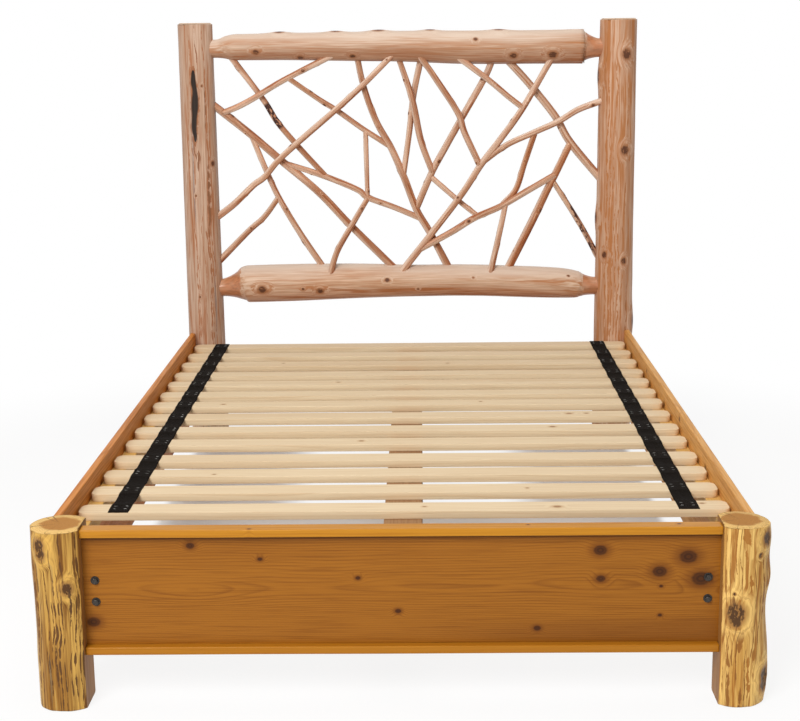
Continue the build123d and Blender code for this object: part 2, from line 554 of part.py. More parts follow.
def slat(y):
    """One slat, its four corners pared round in plan."""
    outline = []
    for corner, (side, end) in enumerate(((1, 1), (-1, 1), (-1, -1), (1, -1))):
        centre_x = side * (SLAT_LENGTH / 2 - SLAT_CORNER)
        centre_y = y + end * (SLAT_WIDTH / 2 - SLAT_CORNER)
        for step in range(SLAT_CORNER_COUNT + 1):
            turn = radians(90 * (corner + step / SLAT_CORNER_COUNT))
            outline.append((centre_x + SLAT_CORNER * cos(turn), centre_y + SLAT_CORNER * sin(turn),
                            SLAT_BOTTOM))
    return largest(extrude(Face(Wire.make_polygon(outline)), SLAT_THICKNESS, dir=(0, 0, 1)))


def build_slat_mat(nodes):
    """Fourteen loose slats held at their spacing by two webbing straps; the whole mat lifts out."""
    slats = []
    for number, nudge in enumerate(SLAT_NUDGES):
        slats.append(slat(FIRST_SLAT_Y - number * SLAT_PITCH + nudge))
    nodes["slats"] = Compound(slats)
    low_y = LAST_SLAT_Y + SLAT_NUDGES[-1] - SLAT_WIDTH / 2 + STRAP_END_INSET
    high_y = FIRST_SLAT_Y + SLAT_WIDTH / 2 - STRAP_END_INSET
    for side, name in ((-1, "strap_left"), (1, "strap_right")):
        x = side * (SLAT_LENGTH / 2 - STRAP_FROM_SLAT_END)
        nodes[name] = block(x - STRAP_WIDTH / 2, x + STRAP_WIDTH / 2, low_y, high_y,
                            DECK_TOP, DECK_TOP + STRAP_THICKNESS)


bed = {}
build_headboard(bed)
build_foot_panel(bed)
build_sides(bed)
build_centre_support(bed)
build_slat_mat(bed)
os.makedirs("parts", exist_ok=True)
for node, shape in bed.items():
    export_step(shape, os.path.join("parts", node + ".step"))
print(len(bed), "nodes written")
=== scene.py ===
import bmesh
import bpy
import math
import numpy as np
from mathutils import Matrix, Vector


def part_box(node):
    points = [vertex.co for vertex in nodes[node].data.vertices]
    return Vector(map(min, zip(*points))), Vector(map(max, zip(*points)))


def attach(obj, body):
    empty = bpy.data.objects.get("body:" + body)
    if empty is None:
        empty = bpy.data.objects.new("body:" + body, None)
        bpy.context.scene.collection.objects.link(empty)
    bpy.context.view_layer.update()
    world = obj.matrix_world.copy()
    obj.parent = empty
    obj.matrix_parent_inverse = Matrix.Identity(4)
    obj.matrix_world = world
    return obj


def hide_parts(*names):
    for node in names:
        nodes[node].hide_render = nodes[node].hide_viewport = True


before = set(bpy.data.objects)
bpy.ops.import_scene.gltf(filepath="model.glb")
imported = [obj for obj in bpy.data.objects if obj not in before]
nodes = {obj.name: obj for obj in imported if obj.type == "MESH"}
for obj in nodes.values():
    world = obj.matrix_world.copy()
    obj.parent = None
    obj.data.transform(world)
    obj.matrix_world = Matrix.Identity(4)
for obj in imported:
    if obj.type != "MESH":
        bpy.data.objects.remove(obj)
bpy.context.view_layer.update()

# ------------------------------------------------------------------ camera
# The bed is seen from beyond its foot, from standing height, looking a little down. The lens is
# long, so the head looks little smaller than the foot.
LENS = 68.1
EYE = (0.052, -4.257, 1.477)
PITCH, YAW, ROLL = 0.2166, -0.0163, -0.0116
camera_data = bpy.data.cameras.new("studio_camera")
camera_data.sensor_width = 36.0
camera_data.sensor_fit = "HORIZONTAL"
camera_data.lens = LENS
camera_data.clip_end = 60.0
studio_camera = bpy.data.objects.new("studio_camera", camera_data)
bpy.context.scene.collection.objects.link(studio_camera)
look = Vector((math.sin(YAW) * math.cos(PITCH), math.cos(YAW) * math.cos(PITCH), -math.sin(PITCH)))
flat_right = Vector((math.cos(YAW), -math.sin(YAW), 0.0))
flat_up = flat_right.cross(look)
right = math.cos(ROLL) * flat_right + math.sin(ROLL) * flat_up
up = -math.sin(ROLL) * flat_right + math.cos(ROLL) * flat_up
turn = Matrix((right, up, -look)).transposed().to_4x4()
studio_camera.matrix_world = Matrix.Translation(EYE) @ turn
bpy.context.scene.camera = studio_camera

# ------------------------------------------------------------------ floor, light and backdrop
# A plain white studio floor that keeps the bed's soft shadow, deepest under its sides, a white
# surround, one broad soft lamp from the front left and a weak one overhead.
FLOOR_HALF = 30
FLOOR_GREY = 0.92
# the floor is white of itself, apart from this share of its real light and shade near the bed
SHADOW_SHARE = 0.14
SHADOW_REACH = (1.6, 2.6)
# the shade is deeper in two strips under the sides, which join towards the foot
DEEP_SHARE = 0.9
STRIP_EDGE = (0.30, 0.46)
STRIPS_JOIN = (0.20, 0.26)
SIDE_EDGE = (0.755, 0.79)
FOOT_EDGE = (-0.45, -0.2)
HEAD_EDGE = (0.95, 1.05)
WARM_WHITE = (1, 0.99, 0.97, 1)
PLAIN_WHITE = (1, 1, 1, 1)
SURROUND_STRENGTH = 0.34


class Amount:
    """What a shader node gives out: an amount, a colour or a place. Arithmetic adds nodes."""

    def __init__(self, socket):
        self.socket, self.tree = socket, socket.id_data

    def joined(self, other, operation):
        """Joined to another amount by an operation."""
        return wire(self.tree, "ShaderNodeMath", {0: self, 1: other}, operation=operation)

    def alone(self, operation):
        """Put through an operation that takes nothing else."""
        return wire(self.tree, "ShaderNodeMath", {0: self}, operation=operation)

    def __add__(self, other):
        return self.joined(other, "ADD")

    def __sub__(self, other):
        return self.joined(other, "SUBTRACT")

    def __rsub__(self, other):
        return wire(self.tree, "ShaderNodeMath", {0: other, 1: self}, operation="SUBTRACT")

    def __mul__(self, other):
        return self.joined(other, "MULTIPLY")

    def __truediv__(self, other):
        return self.joined(other, "DIVIDE")

    def level(self, low, high, to_low=0.0, to_high=1.0):
        """Stretched so that low becomes to_low and high becomes to_high, held at both ends."""
        return wire(self.tree, "ShaderNodeMapRange", {
            "Value": self, "From Min": low, "From Max": high, "To Min": to_low, "To Max": to_high},
            interpolation_type="SMOOTHSTEP")

    def moved(self, other, operation="ADD"):
        """A place joined to another place."""
        return wire(self.tree, "ShaderNodeVectorMath", {0: self, 1: other}, operation=operation)

    def length(self):
        """How far a place is from the origin."""
        return wire(self.tree, "ShaderNodeVectorMath", {0: self}, "Value", operation="LENGTH")

    def parts(self):
        """The three parts of a place."""
        split = wire(self.tree, "ShaderNodeSeparateXYZ", {"Vector": self})
        return [Amount(part) for part in split.socket.node.outputs]


def wire(tree, kind, sockets=None, out=0, **settings):
    """One shader node: its settings, and for each socket a value or what another node gives."""
    node = tree.nodes.new(kind)
    for name, value in settings.items():
        setattr(node, name, value)
    for name, value in (sockets or {}).items():
        if isinstance(value, Amount):
            tree.links.new(value.socket, node.inputs[name])
        else:
            node.inputs[name].default_value = value
    return Amount(node.outputs[out])


def new_finish(name):
    """A new material and its shader tree."""
    material = bpy.data.materials.new(name)
    material.use_nodes = True
    return material, material.node_tree


def white_where_seen(tree, lit, white, output, share=None):
    """White where the camera, a reflection or glass shows the surface, and lit for the rest."""
    rays = tree.nodes.new("ShaderNodeLightPath").outputs
    camera, gloss, glass = (Amount(rays[f"Is {kind} Ray"])
                            for kind in ("Camera", "Glossy", "Transmission"))
    seen = camera.joined(gloss, "MAXIMUM").joined(glass, "MAXIMUM")
    mixed = wire(tree, "ShaderNodeMixShader", {
        0: seen if share is None else seen * share, 1: Amount(lit.outputs[0]), 2: white})
    tree.links.new(mixed.socket, tree.nodes[output].inputs["Surface"])


floor_mesh = bpy.data.meshes.new("studio_floor")
floor_corners = [(x * FLOOR_HALF, y * FLOOR_HALF, 0)
                 for x, y in ((-1, -1), (1, -1), (1, 1), (-1, 1))]
floor_mesh.from_pydata(floor_corners, [], [(0, 1, 2, 3)])
studio_floor = bpy.data.objects.new("studio_floor", floor_mesh)
bpy.context.scene.collection.objects.link(studio_floor)
floor_material, floor_tree = new_finish("studio_white")
floor_paint = floor_tree.nodes["Principled BSDF"]
floor_paint.inputs["Base Color"].default_value = (FLOOR_GREY, FLOOR_GREY, FLOOR_GREY, 1)
floor_paint.inputs["Roughness"].default_value = 0.95
floor_paint.inputs["Specular IOR Level"].default_value = 0.0
floor_glow = wire(floor_tree, "ShaderNodeEmission", {"Color": PLAIN_WHITE, "Strength": 1.0})
floor_place = wire(floor_tree, "ShaderNodeNewGeometry", out="Position")
across_floor, along_floor, _ = floor_place.parts()
aside = across_floor.alone("ABSOLUTE")
strips = aside.level(*STRIP_EDGE).joined(along_floor.level(*STRIPS_JOIN, 1.0, 0.0), "MAXIMUM")
inside_bed = aside.level(*SIDE_EDGE, 1.0, 0.0) * (
    along_floor.level(*FOOT_EDGE) * along_floor.level(*HEAD_EDGE, 1.0, 0.0))
glow_share = floor_place.length().level(*SHADOW_REACH, 1 - SHADOW_SHARE, 1.0)
glow_share = glow_share * (1.0 - strips * inside_bed * DEEP_SHARE)
white_where_seen(floor_tree, floor_paint, floor_glow, "Material Output", glow_share)
floor_mesh.materials.append(floor_material)

world = bpy.data.worlds.new("studio_world")
world.use_nodes = True
bpy.context.scene.world = world
dim_surround = world.node_tree.nodes["Background"]
dim_surround.inputs["Color"].default_value = WARM_WHITE
dim_surround.inputs["Strength"].default_value = SURROUND_STRENGTH
white_surround = wire(world.node_tree, "ShaderNodeBackground", {
    "Color": PLAIN_WHITE, "Strength": 1.0})
white_where_seen(world.node_tree, dim_surround, white_surround, "World Output")


def soft_lamp(name, place, aim, size, energy):
    """A square studio lamp pointed at a place on the bed."""
    data = bpy.data.lights.new(name, "AREA")
    data.energy = energy
    data.size = size
    lamp = bpy.data.objects.new(name, data)
    lamp.location = place
    lamp.rotation_euler = (Vector(aim) - Vector(place)).to_track_quat("-Z", "Y").to_euler()
    bpy.context.scene.collection.objects.link(lamp)


soft_lamp("key_lamp", place=(-1.9, -4.8, 4.0), aim=(0, -0.1, 0.4), size=2.4, energy=272)
soft_lamp("overhead_lamp", place=(0.3, -0.2, 4.4), aim=(0, 0, 0.4), size=2.6, energy=52)

bpy.context.scene.view_settings.view_transform = "Standard"

# ------------------------------------------------------------------ head posts
# Two tall peeled cedar logs. The bark is drawn off with a knife, which leaves pale sapwood with
# orange-brown streaks where the blade ran shallow, dark knots, and a pale cut top with eased edges.
LOG_AROUND = 96
LOG_SPACING = 0.0045
CAP_SHARES = (0.05, 0.35, 0.7)
SHOWN_EASE = 0.003
POST_TOP_EASE = 0.007
POST_SHRUNK = 0.985
# broad lumps, flutes and fine ripples: how many to a radius round the log, and to a metre along it
LUMP_SCALES = ((1.3, 4.5), (4.0, 2.2), (11.0, 14.0))
FINE_RIPPLE = 0.0004
# a knot is longer along the log than round it; its swelling and its hollow reach this many sizes
KNOT_STRETCH = 1.25
KNOT_SPREAD = 1.9
HOLLOW_SPREAD = 0.75
# the log loses this much of its radius from butt to top
POST_TAPER = {"head_post_left": 0.007, "head_post_right": 0.005}
# knots: (height, bearing, size, stand-out)
LEFT_POST_KNOTS = (
    (1.288, 293, 0.0045, 0.0), (0.910, 260, 0.004, 0.0), (0.551, 260, 0.004, 0.0),
    (1.02, 322, 0.009, 0.0015), (0.70, 60, 0.016, 0.004), (1.20, 120, 0.014, 0.003),
)
RIGHT_POST_KNOTS = (
    (1.380, 289, 0.017, 0.006), (1.054, 289, 0.015, 0.004), (1.305, 182, 0.022, 0.006),
    (0.814, 180, 0.018, 0.005), (0.666, 293, 0.011, 0.002), (0.445, 350, 0.024, 0.005),
    (0.687, 231, 0.011, 0.0), (0.95, 80, 0.018, 0.004), (0.60, 30, 0.016, 0.003),
)
# an opening in the wood: (lowest, highest, bearing, half its width, depth)
LEFT_POST_SLITS = ((1.105, 1.340, 266, 0.0085, 0.005),)
# a line left by the knife: (lowest, highest, bearing, half its width, and its darkness, from 0
# for inner bark to 1 for black bark)
LEFT_POST_LINES = (
    (0.0, 1.46, 256, 0.0026, 0.0), (1.14, 1.29, 300, 0.0014, 0.5), (0.84, 1.02, 303, 0.0030, 0.45),
    (1.080, 1.360, 266, 0.0140, 0.15), (1.097, 1.342, 266, 0.0112, 1.0),
    (1.335, 1.50, 276, 0.0022, 0.3), (1.03, 1.13, 262, 0.0022, 0.35),
    (1.02, 1.12, 272, 0.0020, 0.3), (0.99, 1.06, 268, 0.0018, 0.4), (0.30, 1.55, 304, 0.0030, 0.0),
    (0.2, 1.25, 312, 0.0022, 0.0), (0.1, 0.97, 298, 0.0024, 0.1), (1.05, 1.48, 254, 0.0016, 0.0),
    (0.75, 1.02, 306, 0.0045, 0.35), (0.3, 0.7, 262, 0.0016, 0.0), (0.45, 0.88, 282, 0.0014, 0.0),
    (0.9, 1.3, 241, 0.0022, 0.0),
)
RIGHT_POST_LINES = (
    (0.25, 1.55, 236, 0.0030, 0.0), (0.3, 1.42, 246, 0.0026, 0.0), (0.1, 1.15, 255, 0.0030, 0.0),
    (0.2, 0.95, 266, 0.0024, 0.0), (1.10, 1.36, 262, 0.0026, 0.0), (0.35, 0.92, 276, 0.0030, 0.0),
    (0.3, 0.64, 286, 0.0026, 0.0), (0.72, 1.00, 296, 0.0024, 0.1), (1.08, 1.30, 300, 0.0024, 0.0),
    (0.30, 0.60, 306, 0.0022, 0.2), (0.05, 0.55, 248, 0.0036, 0.0), (1.16, 1.5, 226, 0.0026, 0.1),
)
PALE_CEDAR = (0.580, 0.405, 0.298)
TAN_CEDAR = (0.470, 0.296, 0.198)
CEDAR_STREAK = (0.380, 0.145, 0.058)
WARM_PALE_CEDAR = (0.640, 0.415, 0.285)
WARM_TAN_CEDAR = (0.490, 0.270, 0.160)
WARM_STREAK = (0.440, 0.165, 0.050)
CEDAR_STAIN = (0.235, 0.205, 0.190)
CEDAR_KNOT = (0.120, 0.045, 0.022)
CEDAR_KNOT_RIM = (0.360, 0.150, 0.065)
CEDAR_BARK = (0.030, 0.020, 0.015)
CEDAR_END = (0.760, 0.560, 0.400)
CEDAR_HEART = (0.480, 0.240, 0.115)
PEELED_SHINE = 0.20
SAWN_SHINE = 0.12
FAR_FROM_KNOTS = 9.0


def lumps(points, seed):
    """Smooth random values from -1 to 1 at the points, about one lump to a unit."""
    cell = np.floor(points).astype(np.int64)
    part = points - cell
    part = part * part * (3 - 2 * part)
    total = np.zeros(points.shape[:-1])
    for corner in range(8):
        step = np.array([(corner >> axis) & 1 for axis in range(3)])
        spot = (cell + step) * np.array([73856093, 19349663, 83492791])
        mixed = spot.sum(axis=-1) + seed * 1013904223
        mixed = (mixed ^ (mixed >> 13)) * 1274126177
        value = (mixed & 0x7FFFFFFF) / 0x3FFFFFFF - 1
        total += value * np.where(step, part, 1 - part).prod(axis=-1)
    return total


def smooth_line(points, spacing):
    """Places spaced along a smooth line through the points, each with its radius."""
    given = np.array(points, float)
    ends = [2 * given[0] - given[1]], [2 * given[-1] - given[-2]]
    padded = np.vstack([ends[0], given, ends[1]])
    places = []
    for p0, p1, p2, p3 in zip(padded, padded[1:], padded[2:], padded[3:]):
        steps = max(int(np.linalg.norm((p2 - p1)[:3]) / spacing), 2)
        t = np.linspace(0, 1, steps, endpoint=False)[:, None]
        places.append(0.5 * (2 * p1 + (p2 - p0) * t + (2 * p0 - 5 * p1 + 4 * p2 - p3) * t ** 2
                             + (3 * p1 - p0 - 3 * p2 + p3) * t ** 3))
    return np.vstack(places + [given[-1:]])


def carried_sides(line, first_side):
    """Two directions square to the line at each place, carried along it without twisting."""
    run = np.gradient(line, axis=0)
    run /= np.linalg.norm(run, axis=1)[:, None]
    side = np.array(first_side, float)
    sides = []
    for direction in run:
        side = side - direction * side.dot(direction)
        side /= np.linalg.norm(side)
        sides.append(side)
    sides = np.array(sides)
    return sides, np.cross(run, sides)


def turned_off(bearing, degrees):
    """How far each bearing is turned from one given in degrees, by the shorter way."""
    return (bearing - math.radians(degrees) + math.pi) % (2 * math.pi) - math.pi


def nearness(along, bearing, girth, knot):
    """How many knot sizes each place is from one knot, measured over the log's surface."""
    knot_along, knot_bearing, size = knot[:3]
    lengthwise = (along - knot_along) / KNOT_STRETCH
    return np.hypot(lengthwise, turned_off(bearing, knot_bearing) * girth) / size


def swell(along, bearing, girth, seed, knots, bulges, slits, flute, lump):
    """How far the log's surface stands off its round, and how near each place is to a knot."""
    ring = np.stack([np.cos(bearing), np.sin(bearing)], axis=-1)
    broad, flutes, fine = (
        lumps(np.concatenate([ring * around, along[..., None] * lengthwise], axis=-1), seed + more)
        for more, (around, lengthwise) in enumerate(LUMP_SCALES))
    out = girth * (lump * broad + flute * flutes) + FINE_RIPPLE * fine
    nearest = np.full(along.shape, FAR_FROM_KNOTS)
    for knot in knots:
        away = nearness(along, bearing, girth, knot)
        out = out + knot[3] * np.exp(-(away / KNOT_SPREAD) ** 2)
        if len(knot) > 4:
            out = out - knot[4] * np.exp(-(away / HOLLOW_SPREAD) ** 4)
        nearest = np.minimum(nearest, away)
    for bulge in bulges:
        out = out + bulge[3] * np.exp(-nearness(along, bearing, girth, bulge) ** 2)
    for low, high, slit_bearing, half_width, depth in slits:
        inside = np.sqrt(np.clip((along - low) * (high - along), 0, None))
        opening = half_width * inside * 2 / (high - low)
        off = np.abs(turned_off(bearing, slit_bearing)) * girth
        out = out - depth * np.clip(1.4 - off / (opening + 1e-5), 0, 1) * (opening > 0)
    return out, nearest


def skinned(rows, around, start=0):
    """Faces that join rows of points one to the next and close both ends."""
    faces = []
    for row in range(rows - 1):
        a, b = start + row * around, start + (row + 1) * around
        for here in range(around):
            after = (here + 1) % around
            faces.append((a + here, a + after, b + after, b + here))
    faces.append(tuple(reversed(range(start, start + around))))
    faces.append(tuple(range(start + (rows - 1) * around, start + rows * around)))
    return faces


def finish_mesh(name, points, faces, materials, smooth=True):
    """A mesh object in the row's frame."""
    mesh = bpy.data.meshes.new(name)
    mesh.from_pydata([tuple(point) for point in points], [], faces)
    for material in materials:
        mesh.materials.append(material)
    mesh.polygons.foreach_set("use_smooth", [smooth] * len(mesh.polygons))
    mesh.update()
    piece = bpy.data.objects.new(name, mesh)
    bpy.context.scene.collection.objects.link(piece)
    return piece


def keep_marks(piece, name, values):
    """Stores a place or an amount at each vertex, for the piece's finish to read."""
    kind, field = ("FLOAT_VECTOR", "vector") if values.ndim == 2 else ("FLOAT", "value")
    marks = piece.data.attributes.new(name, kind, "POINT")
    marks.data.foreach_set(field, values.astype(np.float32).ravel())


def grow_log(name, points, first_side, materials, seed, knots=(), bulges=(), slits=(),
             around=LOG_AROUND, spacing=LOG_SPACING, flute=0.010, lump=0.012, ease=0.0015,
             shape=None):
    """A peeled log skinned along its line, its two ends closed by rings of end grain."""
    line = smooth_line(points, spacing)
    centre, girths = line[:, :3], line[:, 3]
    sides, ups = carried_sides(centre, first_side)
    steps = np.linalg.norm(np.diff(centre, axis=0), axis=1)
    lengths = np.concatenate([[0], np.cumsum(steps)])
    turns = np.arange(around) * 2 * math.pi / around
    along, bearing = np.meshgrid(lengths, turns, indexing="ij")
    girth = np.repeat(girths[:, None], around, axis=1)
    out, nearest = swell(along, bearing, girth, seed, knots, bulges, slits, flute, lump)
    reach = girth + out
    rings, marks, knot_marks = [], [], []

    def add_ring(row, share, inset):
        radius = reach[row] * share
        cos, sin = np.cos(turns)[:, None], np.sin(turns)[:, None]
        run = np.cross(sides[row], ups[row])
        rings.append(centre[row] + radius[:, None] * (cos * sides[row] + sin * ups[row])
                     + run * inset)
        marks.append(np.stack([radius * np.cos(turns), radius * np.sin(turns),
                               np.full(around, lengths[row] + inset)], axis=1))
        knot_marks.append(nearest[row])

    last = len(lengths) - 1
    for share in CAP_SHARES:
        add_ring(0, share, 0)
    add_ring(0, 1 - ease / girths[0], 0)
    for row in range(1, last):
        add_ring(row, 1, 0)
    add_ring(last, 1, -ease)
    add_ring(last, 1 - ease / girths[-1], 0)
    for share in reversed(CAP_SHARES):
        add_ring(last, share, 0)
    points = np.vstack(rings)
    if shape is not None:
        points = shape(points)
    log = finish_mesh(name, points, skinned(len(rings), around), materials)
    cap_rows = len(CAP_SHARES)
    top_rows = cap_rows + (ease > SHOWN_EASE)
    bands = len(rings) - 1
    for row in list(range(cap_rows)) + list(range(bands - top_rows, bands)):
        for here in range(around):
            log.data.polygons[row * around + here].material_index = 1
    for closing in (-1, -2):
        log.data.polygons[closing].material_index = 1
    keep_marks(log, "log_place", np.vstack(marks))
    keep_marks(log, "knot_away", np.concatenate(knot_marks))
    return log


def blend(share, one, other, mode="MIX"):
    """Two colours mixed by a share."""
    tree = next(value.tree for value in (share, one, other) if isinstance(value, Amount))
    one, other = ((*colour, 1) if isinstance(colour, tuple) else colour for colour in (one, other))
    return wire(tree, "ShaderNodeMix", {0: share, 6: one, 7: other}, 2, data_type="RGBA",
                blend_type=mode)


def shade(colour, share):
    """A colour made darker or lighter, no brighter than white."""
    return tuple(min(channel * share, 1.0) for channel in colour)


def place_of(x, y, z=0.0):
    """A place made of amounts."""
    return wire(x.tree, "ShaderNodeCombineXYZ", {"X": x, "Y": y, "Z": z})


def grain_noise(place, across, lengthwise, offset=0.0, detail=2.0, distortion=0.0):
    """Noise drawn out along the grain: lumps per metre across it and along it."""
    moved = wire(place.tree, "ShaderNodeMapping", {
        "Vector": place, "Scale": (across, across, lengthwise),
        "Location": (offset, offset * 0.7, offset * 1.3)})
    return wire(place.tree, "ShaderNodeTexNoise", {
        "Vector": moved, "Scale": 1.0, "Detail": detail, "Roughness": 0.55,
        "Distortion": distortion})


def lay_finish(material, colour, roughness, height, strength, distance, shine=0.5, **constants):
    """Gives a material its colour, roughness, shine and relief."""
    tree = material.node_tree
    skin = tree.nodes["Principled BSDF"]
    bump = wire(tree, "ShaderNodeBump", {
        "Height": height, "Strength": strength, "Distance": distance})
    for name, value in (("Base Color", colour), ("Roughness", roughness), ("Normal", bump)):
        if isinstance(value, Amount):
            tree.links.new(value.socket, skin.inputs[name])
        else:
            skin.inputs[name].default_value = value
    skin.inputs["Specular IOR Level"].default_value = shine
    for name, value in constants.items():
        skin.inputs[name.replace("_", " ")].default_value = value
    return material


def knife_lines(spot, lines):
    """Where the listed lines run down a log, and where the dark ones do."""
    x, y, rise = spot.parts()
    bearing = y.joined(x, "ARCTAN2")
    girth = place_of(x, y).length()
    sway = (grain_noise(spot, 9, 7, 2.2, 2.0) - 0.5) * 0.035
    ragged = grain_noise(spot, 60, 38, 6.1, 3.0).level(0.35, 0.62, 0.05, 1.25)
    pale_lines = dark_lines = 0.0
    for low, high, degrees, half_width, darkness in lines:
        turn = wire(spot.tree, "ShaderNodeMath", {
            0: bearing - math.radians(degrees), 1: math.pi, 2: -math.pi}, operation="WRAP")
        off = (turn * girth + sway).alone("ABSOLUTE")
        inside = ((rise - low) * (high - rise)).joined(0.0, "MAXIMUM").alone("SQRT")
        width = inside * (2 * half_width / (high - low)) + 1e-5
        if darkness < 0.9:
            width = width * ragged
        share = (off / width).level(0.70, 1.30, 1.0, 0.0)
        pale_lines = share.joined(pale_lines, "MAXIMUM")
        if darkness > 0:
            dark_lines = (share * darkness).joined(dark_lines, "MAXIMUM")
    return pale_lines, dark_lines


def peeled_wood(name, pale, tan, streak, streak_edge, streak_across, stain_edge, offset,
                stain=CEDAR_STAIN, knot=CEDAR_KNOT, knot_rim=CEDAR_KNOT_RIM, bark=CEDAR_BARK,
                lines=(), scars=(), gloss=0.44, fibre_across=240, streak_along=2.1,
                painted_light_and_shade=None, pull=0.026, swirl=0.12):
    """The skin of a peeled log: streaks run along it and bend round its knots.

    A level log may take painted light and shade: paler on its upper side and darker and redder
    underneath."""
    material, tree = new_finish(name)
    spot = wire(tree, "ShaderNodeAttribute", out="Vector", attribute_name="log_place")
    away = wire(tree, "ShaderNodeAttribute", out="Fac", attribute_name="knot_away")
    wander = grain_noise(spot, 14, 3, offset + 3.1, 1.0)
    bent = spot.moved(place_of(away.level(0.6, 2.8, pull, 0.0), wander * 0.008))
    colour = blend(grain_noise(bent, 26, 2.2, offset).level(0.36, 0.64), pale, tan)
    fibres = grain_noise(bent, fibre_across, 7, offset + 7.7, 2.0)
    colour = blend(fibres.level(0.45, 0.66, 0.0, 0.48), colour, streak)
    bleached = shade(pale, 1.22)
    colour = blend(fibres.level(0.46, 0.30, 0.0, 0.5), colour, bleached)
    low, high = streak_edge
    wide = grain_noise(bent, streak_across, streak_along, offset + 1.7, 3.0, 0.2).level(low, high)
    fine = grain_noise(bent, streak_across * 2.2, streak_along * 2.4, offset + 5.3, 2.0)
    fine = fine.level(low + 0.02, high + 0.01)
    broken = grain_noise(bent, 60, 9, offset + 9.9, 2.0).level(0.30, 0.56, 0.25, 1.0)
    streaks = wide.joined(fine * 0.55, "MAXIMUM") * broken
    dark_lines = 0.0
    if lines:
        knife, dark_lines = knife_lines(spot, lines)
        streaks = streaks.joined(knife, "MAXIMUM")
    colour = blend(streaks * 0.9, colour, streak)
    # painted light and shade: paler where the surface faces the log's up direction, darker and
    # redder on the far side
    if painted_light_and_shade:
        painted_light_tint, painted_shade_tint = painted_light_and_shade
        rise = spot.moved((1, 1, 0), "MULTIPLY").moved((0, 0, 0), "NORMALIZE").parts()[1]
        rise = rise + (wander - 0.5) * 0.8
        colour = blend(rise.level(0.2, 0.95, 0.0, 0.75), colour, painted_light_tint)
        colour = blend(rise.level(0.1, -0.75, 0.0, 0.75), colour, painted_shade_tint, "MULTIPLY")
    stained = grain_noise(bent, 46, 1.6, offset + 12.4, 2.0).level(stain_edge, stain_edge + 0.08)
    colour = blend(stained * 0.6, colour, stain)
    rough_away = away + fibres * 0.35
    colour = blend(rough_away.level(0.95, 1.55, 0.9, 0.0), colour, knot_rim)
    uneven = grain_noise(spot, 42, 24, offset + 2.9, 2.0) - 0.5
    swirl_away = rough_away + uneven * 1.7
    halo = rough_away.level(1.35, 1.7) * swirl_away.level(1.6, 2.6, swirl, 0.0)
    colour = blend(halo, colour, bleached)
    circles = (swirl_away * 12.0).alone("SINE")
    colour = blend(halo * circles.level(0.3, 1.0, 0.0, 0.7), colour, knot_rim)
    cracks = grain_noise(spot, 230, 95, offset + 4.0, 2.0)
    heart = (rough_away + cracks * 0.8).level(1.15, 1.50, 1.0, 0.0)
    colour = blend(heart, colour, blend(cracks.level(0.56, 0.66, 0.0, 0.8), knot, knot_rim))
    if dark_lines:
        colour = blend(dark_lines, colour, bark)
    for start, end, edge in scars:
        run = spot.parts()[2]
        inside = run.level(start, start + 0.012) * run.level(end, end - 0.012)
        patches = grain_noise(spot, 95, 48, offset + 1.9, 2.0)
        colour = blend(inside * patches.level(edge, edge + 0.06), colour, bark)
    rough = (streaks + fibres).level(0.3, 1.2, gloss - 0.06, gloss + 0.14)
    height = streaks * -0.5 + fibres + heart * -0.6
    if dark_lines:
        height = height + dark_lines * -0.8
    return lay_finish(material, colour, rough, height, 0.45, 0.0012, PEELED_SHINE)


def sawn_end(name, sapwood, heartwood, heart_edge, ring_count, offset=0.0):
    """A log's sawn end: rings round the heart, pale sapwood outside, and drying checks."""
    material, tree = new_finish(name)
    spot = wire(tree, "ShaderNodeAttribute", out="Vector", attribute_name="log_place")
    x, y, _ = spot.parts()
    flat_spot = place_of(x, y)
    radius = flat_spot.length() + grain_noise(flat_spot, 45, 45, offset + 0.4, 2.0) * 0.022
    colour = blend(radius.level(heart_edge, heart_edge + 0.012, 1.0, 0.0), sapwood, heartwood)
    rings = (radius * ring_count).alone("SINE")
    colour = blend(rings.level(0.0, 1.0, 0.0, 0.34), colour, shade(heartwood, 0.55))
    pores = grain_noise(flat_spot, 700, 700, offset, 3.0)
    colour = blend(pores.level(0.45, 0.75, 0.0, 0.3), colour, shade(heartwood, 0.6))
    spokes = wire(tree, "ShaderNodeTexNoise", {
        "W": y.joined(x, "ARCTAN2") * 3.0, "Scale": 2.2, "Detail": 3.0}, noise_dimensions="1D")
    check = spokes.level(0.70, 0.73) * radius.level(0.004, 0.02)
    colour = blend(check * 0.8, colour, shade(heartwood, 0.25))
    height = rings * 0.15 + check * -1.0 + pores * 0.6
    return lay_finish(material, colour, 0.62, height, 0.5, 0.001, SAWN_SHINE)


def dress(piece, body, slot, *replaced):
    """The piece rides on a body and stands for CAD nodes, which are hidden; the slot is not used.
    """
    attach(piece, body)
    if replaced:
        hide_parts(*replaced)
    return piece


